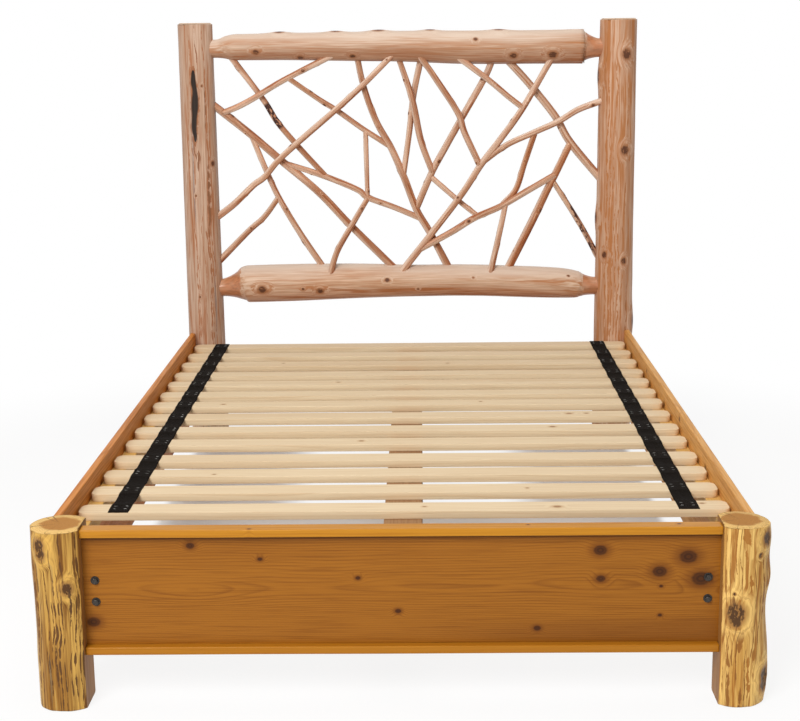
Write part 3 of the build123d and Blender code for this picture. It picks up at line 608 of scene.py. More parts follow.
cedar_end = sawn_end("cedar_sawn_end", CEDAR_END, CEDAR_HEART, 0.040, 2600)
post_woods = {
    "head_post_left": peeled_wood(
        "cedar_post_left", PALE_CEDAR, TAN_CEDAR, CEDAR_STREAK, (0.55, 0.62), 85, 0.62, 2.0,
        lines=LEFT_POST_LINES),
    "head_post_right": peeled_wood(
        "cedar_post_right", WARM_PALE_CEDAR, WARM_TAN_CEDAR, WARM_STREAK, (0.51, 0.58), 75, 0.74,
        11.0, lines=RIGHT_POST_LINES),
}
for post, knots, slits, seed in (("head_post_left", LEFT_POST_KNOTS, LEFT_POST_SLITS, 3),
                                 ("head_post_right", RIGHT_POST_KNOTS, (), 17)):
    low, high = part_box(post)
    butt = (high.x - low.x) / 2
    x, y = (low.x + high.x) / 2, (low.y + high.y) / 2
    top = butt - POST_TAPER[post]
    stations = [(x, y, 0, butt * POST_SHRUNK), (x, y, 0.75, (butt + top) / 2 * POST_SHRUNK),
                (x, y, high.z, top * POST_SHRUNK)]
    log = grow_log(post + "_log", stations, (1, 0, 0), [post_woods[post], cedar_end], seed,
                   knots, (), slits, ease=POST_TOP_EASE)
    dress(log, "bed_frame", "peeled_cedar_post", post)

# ------------------------------------------------------------------ head rails
# Two peeled log rails. A tenon cutter turns each end down to a round tenon and leaves a smooth,
# redder hollow that sweeps out to the full log; the top rail's left end is pared by hand instead.
# (place along X, height of the heart, radius), from the right tenon to the left one.
TOP_RAIL = (
    (0.711, 1.401, 0.031), (0.668, 1.401, 0.0315), (0.650, 1.4015, 0.034), (0.630, 1.403, 0.0405),
    (0.612, 1.4045, 0.050), (0.6005, 1.4055, 0.0575), (0.593, 1.4057, 0.0585),
    (0.40, 1.406, 0.0565), (0.20, 1.408, 0.056), (0.0, 1.4135, 0.052), (-0.20, 1.415, 0.0487),
    (-0.41, 1.417, 0.046), (-0.56, 1.4165, 0.0448), (-0.595, 1.4165, 0.0442),
    (-0.622, 1.4155, 0.040), (-0.643, 1.413, 0.0335), (-0.664, 1.412, 0.031),
    (-0.711, 1.412, 0.031),
)
BOTTOM_RAIL = (
    (0.711, 0.569, 0.031), (0.664, 0.569, 0.0315), (0.645, 0.570, 0.033), (0.627, 0.5715, 0.0365),
    (0.610, 0.573, 0.0425), (0.597, 0.5745, 0.0475), (0.53, 0.581, 0.0535), (0.40, 0.587, 0.0555),
    (0.20, 0.594, 0.0560), (0.0, 0.594, 0.0568), (-0.19, 0.594, 0.0617), (-0.385, 0.591, 0.0655),
    (-0.55, 0.588, 0.0655), (-0.578, 0.587, 0.0645), (-0.587, 0.586, 0.061),
    (-0.602, 0.583, 0.0515), (-0.622, 0.580, 0.042), (-0.645, 0.577, 0.0345),
    (-0.668, 0.575, 0.031), (-0.711, 0.575, 0.031),
)
RAIL_END_X = 0.711
# knots: (place along X, degrees up from facing the foot, size, stand-out)
TOP_RAIL_KNOTS = (
    (-0.534, -22, 0.010, 0.001), (-0.381, -54, 0.010, 0.001), (-0.201, -41, 0.009, 0.001),
    (0.221, 30, 0.007, 0.0), (0.351, -29, 0.012, 0.002), (0.486, -26, 0.014, 0.002),
    (-0.454, 85, 0.016, 0.0055), (-0.260, 88, 0.016, 0.005), (-0.112, 86, 0.018, 0.006),
    (0.064, 85, 0.015, 0.005), (0.302, 88, 0.018, 0.005), (-0.30, 190, 0.014, 0.004),
    (0.18, 170, 0.016, 0.004),
)
BOTTOM_RAIL_KNOTS = (
    (-0.520, -11, 0.014, 0.001), (-0.315, -20, 0.011, 0.002), (-0.077, 11, 0.008, 0.0),
    (0.032, -24, 0.0045, 0.0), (0.227, 18, 0.004, 0.0), (0.561, 40, 0.005, 0.001),
    (-0.375, -12, 0.005, 0.001), (0.10, 160, 0.016, 0.004), (-0.35, 200, 0.016, 0.004),
)
# the cutter's hollows lie beyond these places along X
TOP_RAIL_COVES = (-0.72, 0.618)
BOTTOM_RAIL_COVES = (-0.598, 0.618)
TURNED_CEDAR = (0.510, 0.205, 0.090)
TURNED_PALE = (0.62, 0.38, 0.24)
RAIL_STREAK = (0.440, 0.180, 0.070)
# (painted light on the upper side, painted shade on the underside)
TOP_RAIL_LIGHT_AND_SHADE = ((0.700, 0.560, 0.450), (0.760, 0.530, 0.400))
BOTTOM_RAIL_LIGHT_AND_SHADE = ((0.700, 0.560, 0.450), (0.920, 0.740, 0.680))


def turned_cedar(name, base):
    """Wood fresh from the tenon cutter: smooth and redder, with faint turning rings."""
    material, tree = new_finish(name)
    spot = wire(tree, "ShaderNodeAttribute", out="Vector", attribute_name="log_place")
    grain = grain_noise(spot, 120, 10, 4.4, 3.0, 0.3)
    colour = blend(grain.level(0.35, 0.68), base, shade(base, 0.74))
    patch = grain_noise(spot, 22, 16, 8.8, 2.0)
    colour = blend(patch.level(0.42, 0.62, 0.0, 0.35), colour, TURNED_PALE)
    rings = (spot.parts()[2] * 2400.0).alone("SINE")
    return lay_finish(material, colour, 0.34, rings * 0.2 + grain, 0.25, 0.0006)


turned_wood = turned_cedar("turned_cedar", TURNED_CEDAR)
top_rail_wood = peeled_wood(
    "cedar_rail_top", (0.600, 0.430, 0.315), (0.470, 0.270, 0.165), RAIL_STREAK, (0.55, 0.63), 60,
    0.74, 21.0, painted_light_and_shade=TOP_RAIL_LIGHT_AND_SHADE)
bottom_rail_wood = peeled_wood(
    "cedar_rail_bottom", (0.660, 0.460, 0.325), (0.540, 0.310, 0.185), RAIL_STREAK,
    (0.535, 0.605), 45, 0.76, 33.0, painted_light_and_shade=BOTTOM_RAIL_LIGHT_AND_SHADE)
rail_y = (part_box("head_top_rail")[0].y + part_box("head_top_rail")[1].y) / 2
for rail, stations, knots, wood, coves, seed in (
        ("head_top_rail", TOP_RAIL, TOP_RAIL_KNOTS, top_rail_wood, TOP_RAIL_COVES, 41),
        ("head_bottom_rail", BOTTOM_RAIL, BOTTOM_RAIL_KNOTS, bottom_rail_wood, BOTTOM_RAIL_COVES,
         57)):
    placed = [(RAIL_END_X - x, *rest) for x, *rest in knots]
    log = grow_log(rail + "_log", [(x, rail_y, z, radius) for x, z, radius in stations],
                   (0, -1, 0), [wood, cedar_end, turned_wood], seed, placed, around=88,
                   spacing=0.005, flute=0.016, lump=0.006)
    for face in log.data.polygons:
        if not coves[0] <= face.center.x <= coves[1]:
            face.material_index = 2
    dress(log, "bed_frame", "peeled_cedar_rail", rail)

# ------------------------------------------------------------------ woven branches
# Twenty-five peeled branches, each bent as it grew, coped to those that it meets and let into the
# rails and posts. Their colour runs from pale tan to orange-brown where inner bark was left on.
# Each branch also takes painted light on one side and painted shade, darker and redder, on the
# other.
HALF_OPENING = 0.666
HEAD_OPENING = 0.814
RAIL_LEVEL = 0.599
WEAVE_DEPTH = 0.025
BRANCH_RADIUS = 0.010
# (number, colour, radius in % of 10 mm at both ends, points): a point is a share of the half
# opening across and of the opening upward in %, and a share of the weave's 25 mm depth behind
# the rails' own plane in %.
BRANCHES = (
    (1, "tan", 110, 125, ((77, 97.5, -120), (60.5, 74, -100), (48.5, 60.5, -100), (38.5, 50, -100),
     (28.5, 37.5, -100), (12.5, 20.5, -104), (-5, 2.5, -120))),
    (2, "tan", 100, 120, ((-6, 97.5, -116), (-23, 84, -106), (-37, 74, -100), (-55.5, 61.5, -100),
     (-68, 52.5, -100), (-75.5, 45.5, -96), (-81.5, 42, -88), (-92, 34, -56), (-103.5, 27, -32))),
    (3, "brown", 110, 130, ((-26, 97, -8), (-22.5, 83, 0), (-16.5, 69, 4), (-8.5, 57, 4),
     (-2, 44.5, 0), (4.5, 30.5, 0), (11.5, 20.5, 0), (22, 4, 0))),
    (4, "brown", 130, 130, ((-103.5, 77.5, 8), (-82.5, 63.5, 8), (-68, 53, 12), (-47.5, 38.5, 8),
     (-31.5, 24.5, 8), (-6.5, 4, 0))),
    (5, "tan", 105, 100, ((-65.5, 51.2, 8), (-46, 46, 0), (-27, 39.5, 0), (-21.5, 36, 0),
     (-7, 31.5, 0), (7, 26.5, 0))),
    (6, "pale", 125, 140, ((50.3, 95.5, 16), (63.5, 84, 16), (77.5, 70, 16), (85.5, 59, 16),
     (103.5, 41.5, 8))),
    (7, "pale", 110, 100, ((103.5, 77, -72), (89.5, 73, -96), (79, 68, -100), (66.5, 63.5, -100),
     (51.5, 58, -100), (39, 50.7, -100))),
    (8, "orange", 125, 145, ((85.7, 58.7, 12), (78.5, 46.5, 0), (74.5, 40, 0), (65.5, 24.5, 0),
     (52.3, 3, 0))),
    (9, "tan", 110, 115, ((5.5, 13.3, -112), (23, 21, -100), (35, 27, -100), (49, 32, -100),
     (63, 38.5, -80), (77.5, 45, -16))),
    (10, "tan", 120, 120, ((45.2, 95.5, 0), (40.5, 86.5, 4), (28.5, 69.5, 8), (20.5, 58, 8),
     (13, 47, 4), (4.3, 30.8, 0))),
    (11, "tan", 100, 105, ((-96.5, 73, -32), (-88.5, 75.5, -88), (-80, 79, -100), (-64, 86.5, -100),
     (-37, 97.3, -92))),
    (12, "brown", 90, 95, ((-61.5, 87.2, -96), (-47.5, 79, -16), (-37, 73.5, 0), (-22.5, 65, 0),
     (-9.5, 58, 4))),
    (13, "brown", 110, 100, ((-92.5, 97.5, 0), (-75.5, 78.5, 4), (-68.5, 69, 4), (-59, 59.5, 4),
     (-43.5, 45.3, 0))),
    (14, "tan", 85, 85, ((-22, 64.8, 0), (-21.5, 36.3, 0))),
    (15, "brown", 95, 110, ((-21.2, 36, 0), (-28, 27, -88), (-38, 13, -168), (-42.3, 1, -164))),
    (16, "tan", 95, 110, ((-82, 63, 8), (-75, 48.5, 8), (-68, 35.5, 0), (-57.5, 20.5, 0),
     (-44.5, 4, 0))),
    (17, "brown", 95, 110, ((-68.5, 36.5, 0), (-76.5, 28, 0), (-85.5, 21.5, 0), (-103.5, 7, 0))),
    (18, "brown", 100, 120, ((-5, 97, 12), (2.5, 78.5, -52), (7, 60.5, -32), (13, 46.8, 0))),
    (19, "pale", 95, 90, ((11.8, 45, 0), (27, 34, 12), (37, 27.6, -80))),
    (20, "tan", 110, 100, ((8, 97, 40), (3.5, 80, 44), (1, 63.5, 24), (-2.3, 45.5, 0))),
    (21, "brown", 105, 110, ((5.5, 97.5, -116), (15, 86.5, -106), (26.5, 72, -100),
     (30, 63.5, -100), (37.8, 49.8, -100))),
    (22, "tan", 105, 100, ((23, 97.5, -120), (42, 86, -104), (53, 78.5, -100), (60.2, 74, -100))),
    (23, "orange", 100, 105, ((66.5, 63.2, -88), (61.5, 50.5, -40), (57, 39, -32),
     (50, 32.7, -80))),
    (24, "tan", 95, 110, ((51.5, 33, -96), (48.5, 21.5, -116), (43, 1.5, -136))),
    (25, "barked", 95, 95, ((76, 43, 0), (87, 29, 0), (94, 19.5, 0), (103.5, 5, 0))),
)
BRANCH_AROUND = 20
BRANCH_SPACING = 0.006
BRANCH_KNOT_PITCH = 0.11
# (pale, tan, streak, where the streaks start)
BRANCH_SHADES = {
    "pale": ((0.760, 0.545, 0.410), (0.600, 0.380, 0.255), (0.400, 0.160, 0.068), 0.56),
    "tan": ((0.730, 0.510, 0.375), (0.520, 0.295, 0.180), (0.360, 0.130, 0.052), 0.53),
    "brown": ((0.690, 0.460, 0.325), (0.460, 0.235, 0.130), (0.320, 0.105, 0.038), 0.52),
    "orange": ((0.680, 0.415, 0.260), (0.470, 0.210, 0.098), (0.330, 0.100, 0.032), 0.51),
    "barked": ((0.640, 0.400, 0.260), (0.420, 0.200, 0.105), (0.090, 0.028, 0.018), 0.55),
}
# painted light and shade on each branch: (paler tint on one side, darker and redder tint on the
# other)
BRANCH_LIGHT_AND_SHADE = ((0.780, 0.590, 0.465), (0.800, 0.530, 0.370))
BRANCH_BARK = (0.055, 0.020, 0.013)
# the two branches that kept dark bark: (from and to along the branch, and a level that leaves
# more of the branch bare the higher it is)
BARK_PATCHES = {13: ((0.205, 0.315, 0.44),), 25: ((0.110, 0.300, 0.51),)}


def branch_wood(name, kind, offset, **bark):
    """The skin of a thin branch, with closer streaks than a log's."""
    pale, tan, streak, start = BRANCH_SHADES[kind]
    return peeled_wood(name, pale, tan, streak, (start, start + 0.07), 90, 0.70, offset,
                       fibre_across=170, streak_along=4.5, painted_light_and_shade=BRANCH_LIGHT_AND_SHADE, **bark)


branch_woods = {kind: branch_wood("branch_" + kind, kind, 41.0 + 6 * place)
                for place, kind in enumerate(BRANCH_SHADES)}
for number, patches in BARK_PATCHES.items():
    branch_woods[number] = branch_wood(f"branch_bark_{number}", BRANCHES[number - 1][1],
                                       60.0 + number, bark=BRANCH_BARK, scars=patches)
branch_end = sawn_end("branch_sawn_end", CEDAR_END, CEDAR_HEART, 0.006, 5200, 3.0)
for number, kind, first, last, points in BRANCHES:
    count = len(points)
    line = [(across / 100 * HALF_OPENING, rail_y + deep / 100 * WEAVE_DEPTH,
             RAIL_LEVEL + rise / 100 * HEAD_OPENING,
             (first + (last - first) * index / (count - 1)) / 100 * BRANCH_RADIUS)
            for index, (across, rise, deep) in enumerate(points)]
    length = sum(math.dist(a[:3], b[:3]) for a, b in zip(line, line[1:]))
    knots = []
    for index in range(1, int(length / BRANCH_KNOT_PITCH) + 1):
        jitter = 0.035 * math.sin(number * 7.3 + index * 2.9)
        knots.append((index * BRANCH_KNOT_PITCH + jitter - 0.04, (number * 137 + index * 101) % 360,
                      0.0032 + 0.0014 * ((number + index) % 3), 0.0016))
    wood = branch_woods.get(number, branch_woods[kind])
    log = grow_log(f"branch_{number:02d}_log", line, (0, -1, 0), [wood, branch_end],
                   100 + number * 3, knots, around=BRANCH_AROUND, spacing=BRANCH_SPACING,
                   flute=0.045, lump=0.075, ease=0.001)
    dress(log, "bed_frame", "peeled_branch", f"branch_{number:02d}")

# ------------------------------------------------------------------ head cross board
# A planed softwood board screwed between the head posts, low down, that the centre beam butts
# against. Planed boards have their edges eased and are never dead straight.
EASE = 0.0025
BOARD_WANDER = 0.0004
CUT_PITCH = 0.09
EDGE_FACE_AREA = 0.0008
LUMBER = (0.620, 0.400, 0.215)
LUMBER_LATE = (0.430, 0.225, 0.095)
LUMBER_KNOT = (0.150, 0.060, 0.025)
BOARD_SHINE = 0.18
# one growth ring, from its pale early wood to its dark late wood: (place, darkness)
RING_STEPS = ((0.0, 0.0), (0.52, 0.08), (0.86, 1.0), (1.0, 0.0))


def sawn_wood(name, axes, early, late, knot, rings=190, pith=(0.02, 0.055), sway=0.018,
              ring_share=0.55, knots=(), gloss=0.5, offset=0.0, middle=None, fibre_across=330,
              patch=0.35, painted_shade_height=None):
    """A sawn board's face: growth rings cut lengthwise, fibres, and knots in the grain.

    Above a given height from its middle the face is painted dark, painted shade for the shadow of a
    board that stands proud of it."""
    material, tree = new_finish(name)
    if middle is None:
        spot = wire(tree, "ShaderNodeAttribute", out="Vector", attribute_name="board_place")
    else:
        spot = wire(tree, "ShaderNodeTexCoord", out="Object").moved(tuple(middle), "SUBTRACT")
    parts = spot.parts()
    along, across, through = (parts[axis] for axis in axes)
    grain = place_of(across, through, along)
    away = FAR_FROM_KNOTS
    for knot_along, knot_across, size in knots:
        reach = place_of((along - knot_along) * 0.75, across - knot_across).length()
        away = (reach * (1 / size)).joined(away, "MINIMUM")
    waver = (grain_noise(grain, 5.0, 0.9, offset, 2.0) - 0.5) * (2 * sway)
    other_waver = (grain_noise(grain, 4.0, 1.4, offset + 6.0, 2.0) - 0.5) * (2 * sway)
    radius = place_of(across - pith[0] + waver, through - pith[1] + other_waver).length()
    if knots:
        radius = radius + away.level(0.4, 3.2, 0.009, 0.0)
    ramp = wire(tree, "ShaderNodeValToRGB", {"Fac": (radius * float(rings)).alone("FRACT")})
    band = ramp.socket.node.color_ramp
    while len(band.elements) < len(RING_STEPS):
        band.elements.new(0.5)
    for element, (place, dark) in zip(band.elements, RING_STEPS):
        element.position = place
        element.color = (dark, dark, dark, 1)
    fibres = grain_noise(grain, fibre_across, 6, offset + 1.1, 3.0)
    uneven = grain_noise(grain, 16, 2.0, offset + 2.7, 2.0)
    streaks = grain_noise(grain, 9, 0.7, offset + 8.0, 1.0)
    colour = blend(ramp * uneven.level(0.3, 0.7, ring_share * 0.45, ring_share), early, late)
    colour = blend(fibres.level(0.45, 0.72, 0.0, patch), colour, late)
    colour = blend(streaks.level(0.5, 0.75, 0.0, patch), colour, late)
    if knots:
        near = away + fibres * 0.3
        colour = blend(near.level(0.9, 2.3, 0.75, 0.0), colour, late)
        eyes = (away * 14.0).alone("SINE")
        heart = blend(eyes.level(-1.0, 1.0, 0.0, 0.25), knot, late)
        colour = blend(near.level(0.75, 1.2, 0.95, 0.0), colour, heart)
    # painted shade: the face darkens towards the top edge, for the shadow of a board that stands
    # proud above it
    if painted_shade_height:
        painted_shade_band = across.level(painted_shade_height - 0.011, painted_shade_height - 0.006, 0.0, 0.85)
        colour = blend(painted_shade_band, colour, shade(late, 0.5))
    rough = fibres.level(0.3, 0.7, gloss - 0.06, gloss + 0.08)
    return lay_finish(material, colour, rough, ramp * 0.5 + fibres, 0.22, 0.0008, BOARD_SHINE)


def corner_loop(face):
    """A face's corners in turn, from the lowest numbered one."""
    corners = [corner.index for corner in face.verts]
    first = corners.index(min(corners))
    return corners[first:] + corners[:first]


def eased_board(name, low, high, materials, ease=EASE, seed=1, wander=BOARD_WANDER):
    """A board with every edge eased, wandering a little along its length."""
    size, middle = high - low, (low + high) / 2
    body = bmesh.new()
    bmesh.ops.create_cube(body, size=1.0, matrix=Matrix.Diagonal((*size, 1.0)))
    bmesh.ops.bevel(body, geom=body.edges[:], offset=ease, segments=3, profile=0.6, affect="EDGES")
    run = max(range(3), key=lambda axis: size[axis])
    thin = min(range(3), key=lambda axis: size[axis])
    cuts = max(int(size[run] / CUT_PITCH), 1)
    for cut in range(1, cuts):
        place, normal = Vector((0, 0, 0)), Vector((0, 0, 0))
        place[run] = size[run] * (cut / cuts - 0.5)
        normal[run] = 1
        bmesh.ops.bisect_plane(body, geom=body.verts[:] + body.edges[:] + body.faces[:],
                               plane_co=place, plane_no=normal)
    marks = np.array([tuple(vertex.co) for vertex in body.verts])
    drift = lumps(np.stack([marks[:, run] * 3.0, np.full(len(marks), seed * 1.7),
                            np.zeros(len(marks))], axis=1), seed)
    points = marks.copy()
    points[:, thin] += drift * wander - np.sign(points[:, thin]) * wander
    points += np.array(middle)
    body.verts.index_update()
    sides = sorted((corner_loop(face), face.calc_area() < EDGE_FACE_AREA) for face in body.faces)
    board = finish_mesh(name, points, [corners for corners, _ in sides], materials)
    board.data.polygons.foreach_set("use_smooth", [small for _, small in sides])
    keep_marks(board, "board_place", marks)
    body.free()
    return board


def board_for(node, material, slot, ease=EASE, seed=1):
    """An eased board that stands for a plain CAD board."""
    board = eased_board(node + "_wood", *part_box(node), [material], ease, seed)
    dress(board, "bed_frame", slot, node)


lumber_across = sawn_wood(
    "lumber_across", (0, 2, 1), LUMBER, LUMBER_LATE, LUMBER_KNOT, 160, gloss=0.6, offset=71.0,
    knots=((-0.42, 0.03, 0.009), (0.18, -0.04, 0.011), (0.51, 0.02, 0.008)))
board_for("head_cross_board", lumber_across, "plain_lumber", seed=5)

# ------------------------------------------------------------------ foot posts
# Two short logs of yellow cedar, peeled and varnished, with root swellings and big knots. One
# side of each is sawn flat from top to floor, where the panel butts and the bracket is seated.
FOOT_POST_Y = -1.089
FOOT_SHRUNK = 0.978
LEFT_FLAT_X = -0.706
RIGHT_FLAT_X = 0.699
FLAT_REACH = 0.0004
# knots: (height, bearing, size, stand-out, hollow in the middle)
FOOT_LEFT_KNOTS = (
    (0.386, 239, 0.015, 0.004, 0.004), (0.368, 241, 0.013, 0.003, 0.004),
    (0.290, 289, 0.013, 0.0058, 0.0), (0.216, 325, 0.008, 0.002, 0.0),
    (0.300, 110, 0.022, 0.006, 0.0), (0.120, 150, 0.020, 0.005, 0.0),
)
FOOT_RIGHT_KNOTS = (
    (0.222, 256, 0.022, 0.003, 0.002), (0.204, 257, 0.013, 0.001, 0.002),
    (0.388, 323, 0.015, 0.004, 0.003), (0.352, 306, 0.0055, 0.0, 0.001),
    (0.070, 331, 0.017, 0.001, 0.004), (0.048, 332, 0.017, 0.001, 0.004),
    (0.267, 252, 0.0035, 0.0, 0.0), (0.170, 100, 0.022, 0.006, 0.0), (0.320, 60, 0.018, 0.005, 0.0),
)
FOOT_LEFT_BULGES = (
    (0.330, 205, 0.045, 0.0025), (0.235, 285, 0.035, 0.002), (0.020, 180, 0.060, 0.0022),
)
FOOT_RIGHT_BULGES = (
    (0.383, 335, 0.040, 0.0055), (0.296, 350, 0.032, 0.0090), (0.200, 262, 0.045, 0.002),
    (0.135, 350, 0.045, 0.0060), (0.055, 345, 0.048, 0.0084),
)
FOOT_LEFT_LINES = (
    (0.255, 0.290, 289, 0.0050, 0.8), (-0.05, 0.44, 226, 0.0016, 0.5),
    (0.05, 0.43, 246, 0.0014, 0.5), (-0.05, 0.22, 264, 0.0014, 0.6), (0.14, 0.36, 276, 0.0014, 0.6),
    (-0.02, 0.24, 310, 0.0016, 0.5), (0.19, 0.36, 305, 0.0014, 0.5),
    (-0.05, 0.15, 292, 0.0014, 0.6), (-0.05, 0.45, 216, 0.004, 0.0), (0.05, 0.40, 262, 0.0022, 0.5),
    (-0.1, 0.34, 270, 0.0020, 0.6), (0.02, 0.27, 300, 0.0022, 0.6), (0.18, 0.42, 312, 0.0026, 0.5),
    (0.0, 0.20, 318, 0.0030, 0.6), (0.29, 0.43, 282, 0.0020, 0.4), (0.02, 0.16, 250, 0.0018, 0.5),
    (-0.02, 0.12, 280, 0.0016, 0.7), (0.10, 0.26, 256, 0.0020, 0.5),
    (0.20, 0.275, 290, 0.0024, 0.7),
)
FOOT_RIGHT_LINES = (
    (0.08, 0.20, 254, 0.0014, 0.4), (-0.03, 0.36, 242, 0.0014, 0.3), (0.02, 0.19, 262, 0.0014, 0.4),
    (0.25, 0.43, 266, 0.0014, 0.3), (0.10, 0.33, 294, 0.0014, 0.3), (0.24, 0.43, 314, 0.0014, 0.3),
    (-0.03, 0.14, 282, 0.0014, 0.4), (0.10, 0.30, 306, 0.0014, 0.3), (0.22, 0.42, 326, 0.0014, 0.2),
    (0.345, 0.45, 279, 0.0075, 0.0), (0.24, 0.31, 284, 0.0060, 0.0), (0.06, 0.17, 300, 0.0030, 0.1),
    (-0.02, 0.15, 246, 0.0030, 0.3), (0.02, 0.12, 290, 0.0045, 0.0), (0.20, 0.30, 316, 0.0035, 0.2),
    (0.13, 0.18, 268, 0.0045, 0.2), (0.28, 0.41, 250, 0.0016, 0.1), (0.30, 0.42, 256, 0.0020, 0.1),
    (-0.03, 0.05, 272, 0.0040, 0.4), (0.235, 0.262, 249, 0.0030, 0.5),
    (0.01, 0.40, 232, 0.0022, 0.2),
)
FOOT_BARK = (0.075, 0.038, 0.018)
FOOT_END = (0.780, 0.500, 0.180)
FOOT_HEART = (0.430, 0.195, 0.046)
GREY_STAIN = (0.185, 0.160, 0.100)
FLAT_BROWN = (0.330, 0.155, 0.042)
FLAT_LATE = (0.200, 0.080, 0.018)
foot_end = sawn_end("foot_sawn_end", FOOT_END, FOOT_HEART, 0.049, 1300, 6.0)
flat_wood = sawn_wood("foot_sawn_flat", (2, 1, 0), FLAT_BROWN, FLAT_LATE, CEDAR_KNOT, 240,
                      (0.01, 0.06), offset=14.0, middle=(0, FOOT_POST_Y, 0.2))
foot_woods = {
    "foot_post_left": peeled_wood(
        "foot_wood_left", (0.580, 0.335, 0.074), (0.340, 0.160, 0.026), (0.140, 0.048, 0.007),
        (0.57, 0.63), 110, 0.62, 17.0, GREY_STAIN, (0.085, 0.036, 0.010), (0.360, 0.180, 0.046),
        FOOT_BARK, FOOT_LEFT_LINES, gloss=0.42, fibre_across=230, streak_along=3.4, pull=0.018,
        swirl=0.62),
    "foot_post_right": peeled_wood(
        "foot_wood_right", (0.770, 0.500, 0.158), (0.570, 0.305, 0.068), (0.340, 0.125, 0.018),
        (0.54, 0.61), 95, 0.86, 28.0, GREY_STAIN, (0.085, 0.038, 0.013), (0.360, 0.170, 0.045),
        FOOT_BARK, FOOT_RIGHT_LINES, gloss=0.42, fibre_across=230, streak_along=4.2, pull=0.018,
        swirl=0.66),
}


def cut_flat(points, flat_x):
    """Saws the side of a log that faces the bed's middle line flat."""
    keep = np.minimum if flat_x < 0 else np.maximum
    points[:, 0] = keep(points[:, 0], flat_x)
    return points


# (post, place of its heart along X, place of its flat, radius, knots, bulges, seed)
for post, axis_x, flat_x, radius, knots, bulges, seed in (
        ("foot_post_left", -0.753, LEFT_FLAT_X, 0.066, FOOT_LEFT_KNOTS, FOOT_LEFT_BULGES, 71),
        ("foot_post_right", 0.741, RIGHT_FLAT_X, 0.060, FOOT_RIGHT_KNOTS, FOOT_RIGHT_BULGES, 83)):
    girth = radius * FOOT_SHRUNK
    stations = [(axis_x, FOOT_POST_Y, z, girth) for z in (0, 0.2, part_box(post)[1].z)]
    log = grow_log(post + "_log", stations, (1, 0, 0), [foot_woods[post], foot_end, flat_wood],
                   seed, knots, bulges, around=180, spacing=0.0025, flute=0.028, lump=0.012,
                   ease=0.0035, shape=lambda points: cut_flat(points, flat_x))
    for face in log.data.polygons:
        if abs(face.normal.x) > 0.98 and abs(face.center.x - flat_x) < FLAT_REACH:
            face.material_index = 2
            face.use_smooth = False
    dress(log, "bed_frame", "peeled_cedar_post", post)

# ------------------------------------------------------------------ foot panel
# A wide stained board between the flats of the foot posts, with a golden strip nailed along its
# top and another along its bottom, both standing proud of its face.
PANEL_BROWN = (0.335, 0.121, 0.0098)
PANEL_LATE = (0.160, 0.046, 0.0035)
PANEL_KNOT = (0.040, 0.011, 0.002)
STRIP_GOLD = (0.525, 0.222, 0.0145)
STRIP_LATE = (0.330, 0.110, 0.005)
# the bottom strip's gold is a darker copy of the top strip's: painted shade
SHADED_STRIP_GOLD = (0.420, 0.165, 0.0105)
STRIP_KNOTS = ((0.28, 0.005, 0.003), (-0.33, -0.012, 0.004), (0.61, 0.004, 0.004))
STRIP_PITH = (0.012, 0.035)
STRIP_EASE = 0.003
# knots: (place along X, height above the floor, size)
PANEL_KNOTS = (
    (-0.466, 0.369, 0.008), (-0.313, 0.337, 0.005), (-0.098, 0.292, 0.005), (-0.010, 0.214, 0.006),
    (0.298, 0.172, 0.007), (0.435, 0.353, 0.013), (0.628, 0.337, 0.017), (0.566, 0.303, 0.014),
    (0.657, 0.286, 0.018), (0.570, 0.269, 0.0035), (0.569, 0.201, 0.004), (-0.688, 0.192, 0.013),
    (0.437, 0.287, 0.009),
)


def dress_node(node, material):
    """Gives a CAD piece that keeps its shape its finish."""
    nodes[node].data.materials.clear()
    nodes[node].data.materials.append(material)


panel_low, panel_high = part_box("foot_board")
panel_middle = (panel_low + panel_high) / 2
placed = tuple((x - panel_middle.x, z - panel_middle.z, size) for x, z, size in PANEL_KNOTS)
# painted shade along the panel's top edge, the top strip's shadow on it
dress_node("foot_board", sawn_wood(
    "panel_stain", (0, 2, 1), PANEL_BROWN, PANEL_LATE, PANEL_KNOT, 205, (0.01, 0.026), 0.030,
    0.60, placed, 0.42, 4.0, tuple(panel_middle), 260, 0.50, panel_high.z - panel_middle.z))
strip_wood = sawn_wood("strip_stain", (0, 1, 2), STRIP_GOLD, STRIP_LATE, PANEL_KNOT, 120,
                       STRIP_PITH, 0.012, 0.45, STRIP_KNOTS, 0.36, 23.0, None, 260, 0.3)
# a darker copy of the strip finish for the bottom strip: painted shade
shaded_strip_wood = sawn_wood("shaded_strip_stain", (0, 1, 2), SHADED_STRIP_GOLD, STRIP_LATE, PANEL_KNOT,
                           120, STRIP_PITH, 0.012, 0.40, (), 0.36, 29.0, None, 260, 0.3)
board_for("foot_top_strip", strip_wood, "stained_strip", STRIP_EASE, 7)
board_for("foot_bottom_strip", shaded_strip_wood, "stained_strip", STRIP_EASE, 8)

# ------------------------------------------------------------------ bolts and washers
# Two black hex-head bolts with washers near each end of the panel, driven through it into the
# cleats behind. The heads are chamfered and rubbed bright at their corners.
BOLT_PLACES = [(x, z) for x in (-0.680, 0.673) for z in (0.290, 0.240)]
HEAD_APOTHEM, SHANK_RADIUS, WASHER_RADIUS = 0.0060, 0.0039, 0.0098
HEAD_CHAMFER = 1.04
AROUND_HEAD = 48
BLACK_STEEL, RUBBED_BLACK = (0.045, 0.040, 0.036), (0.42, 0.40, 0.37)


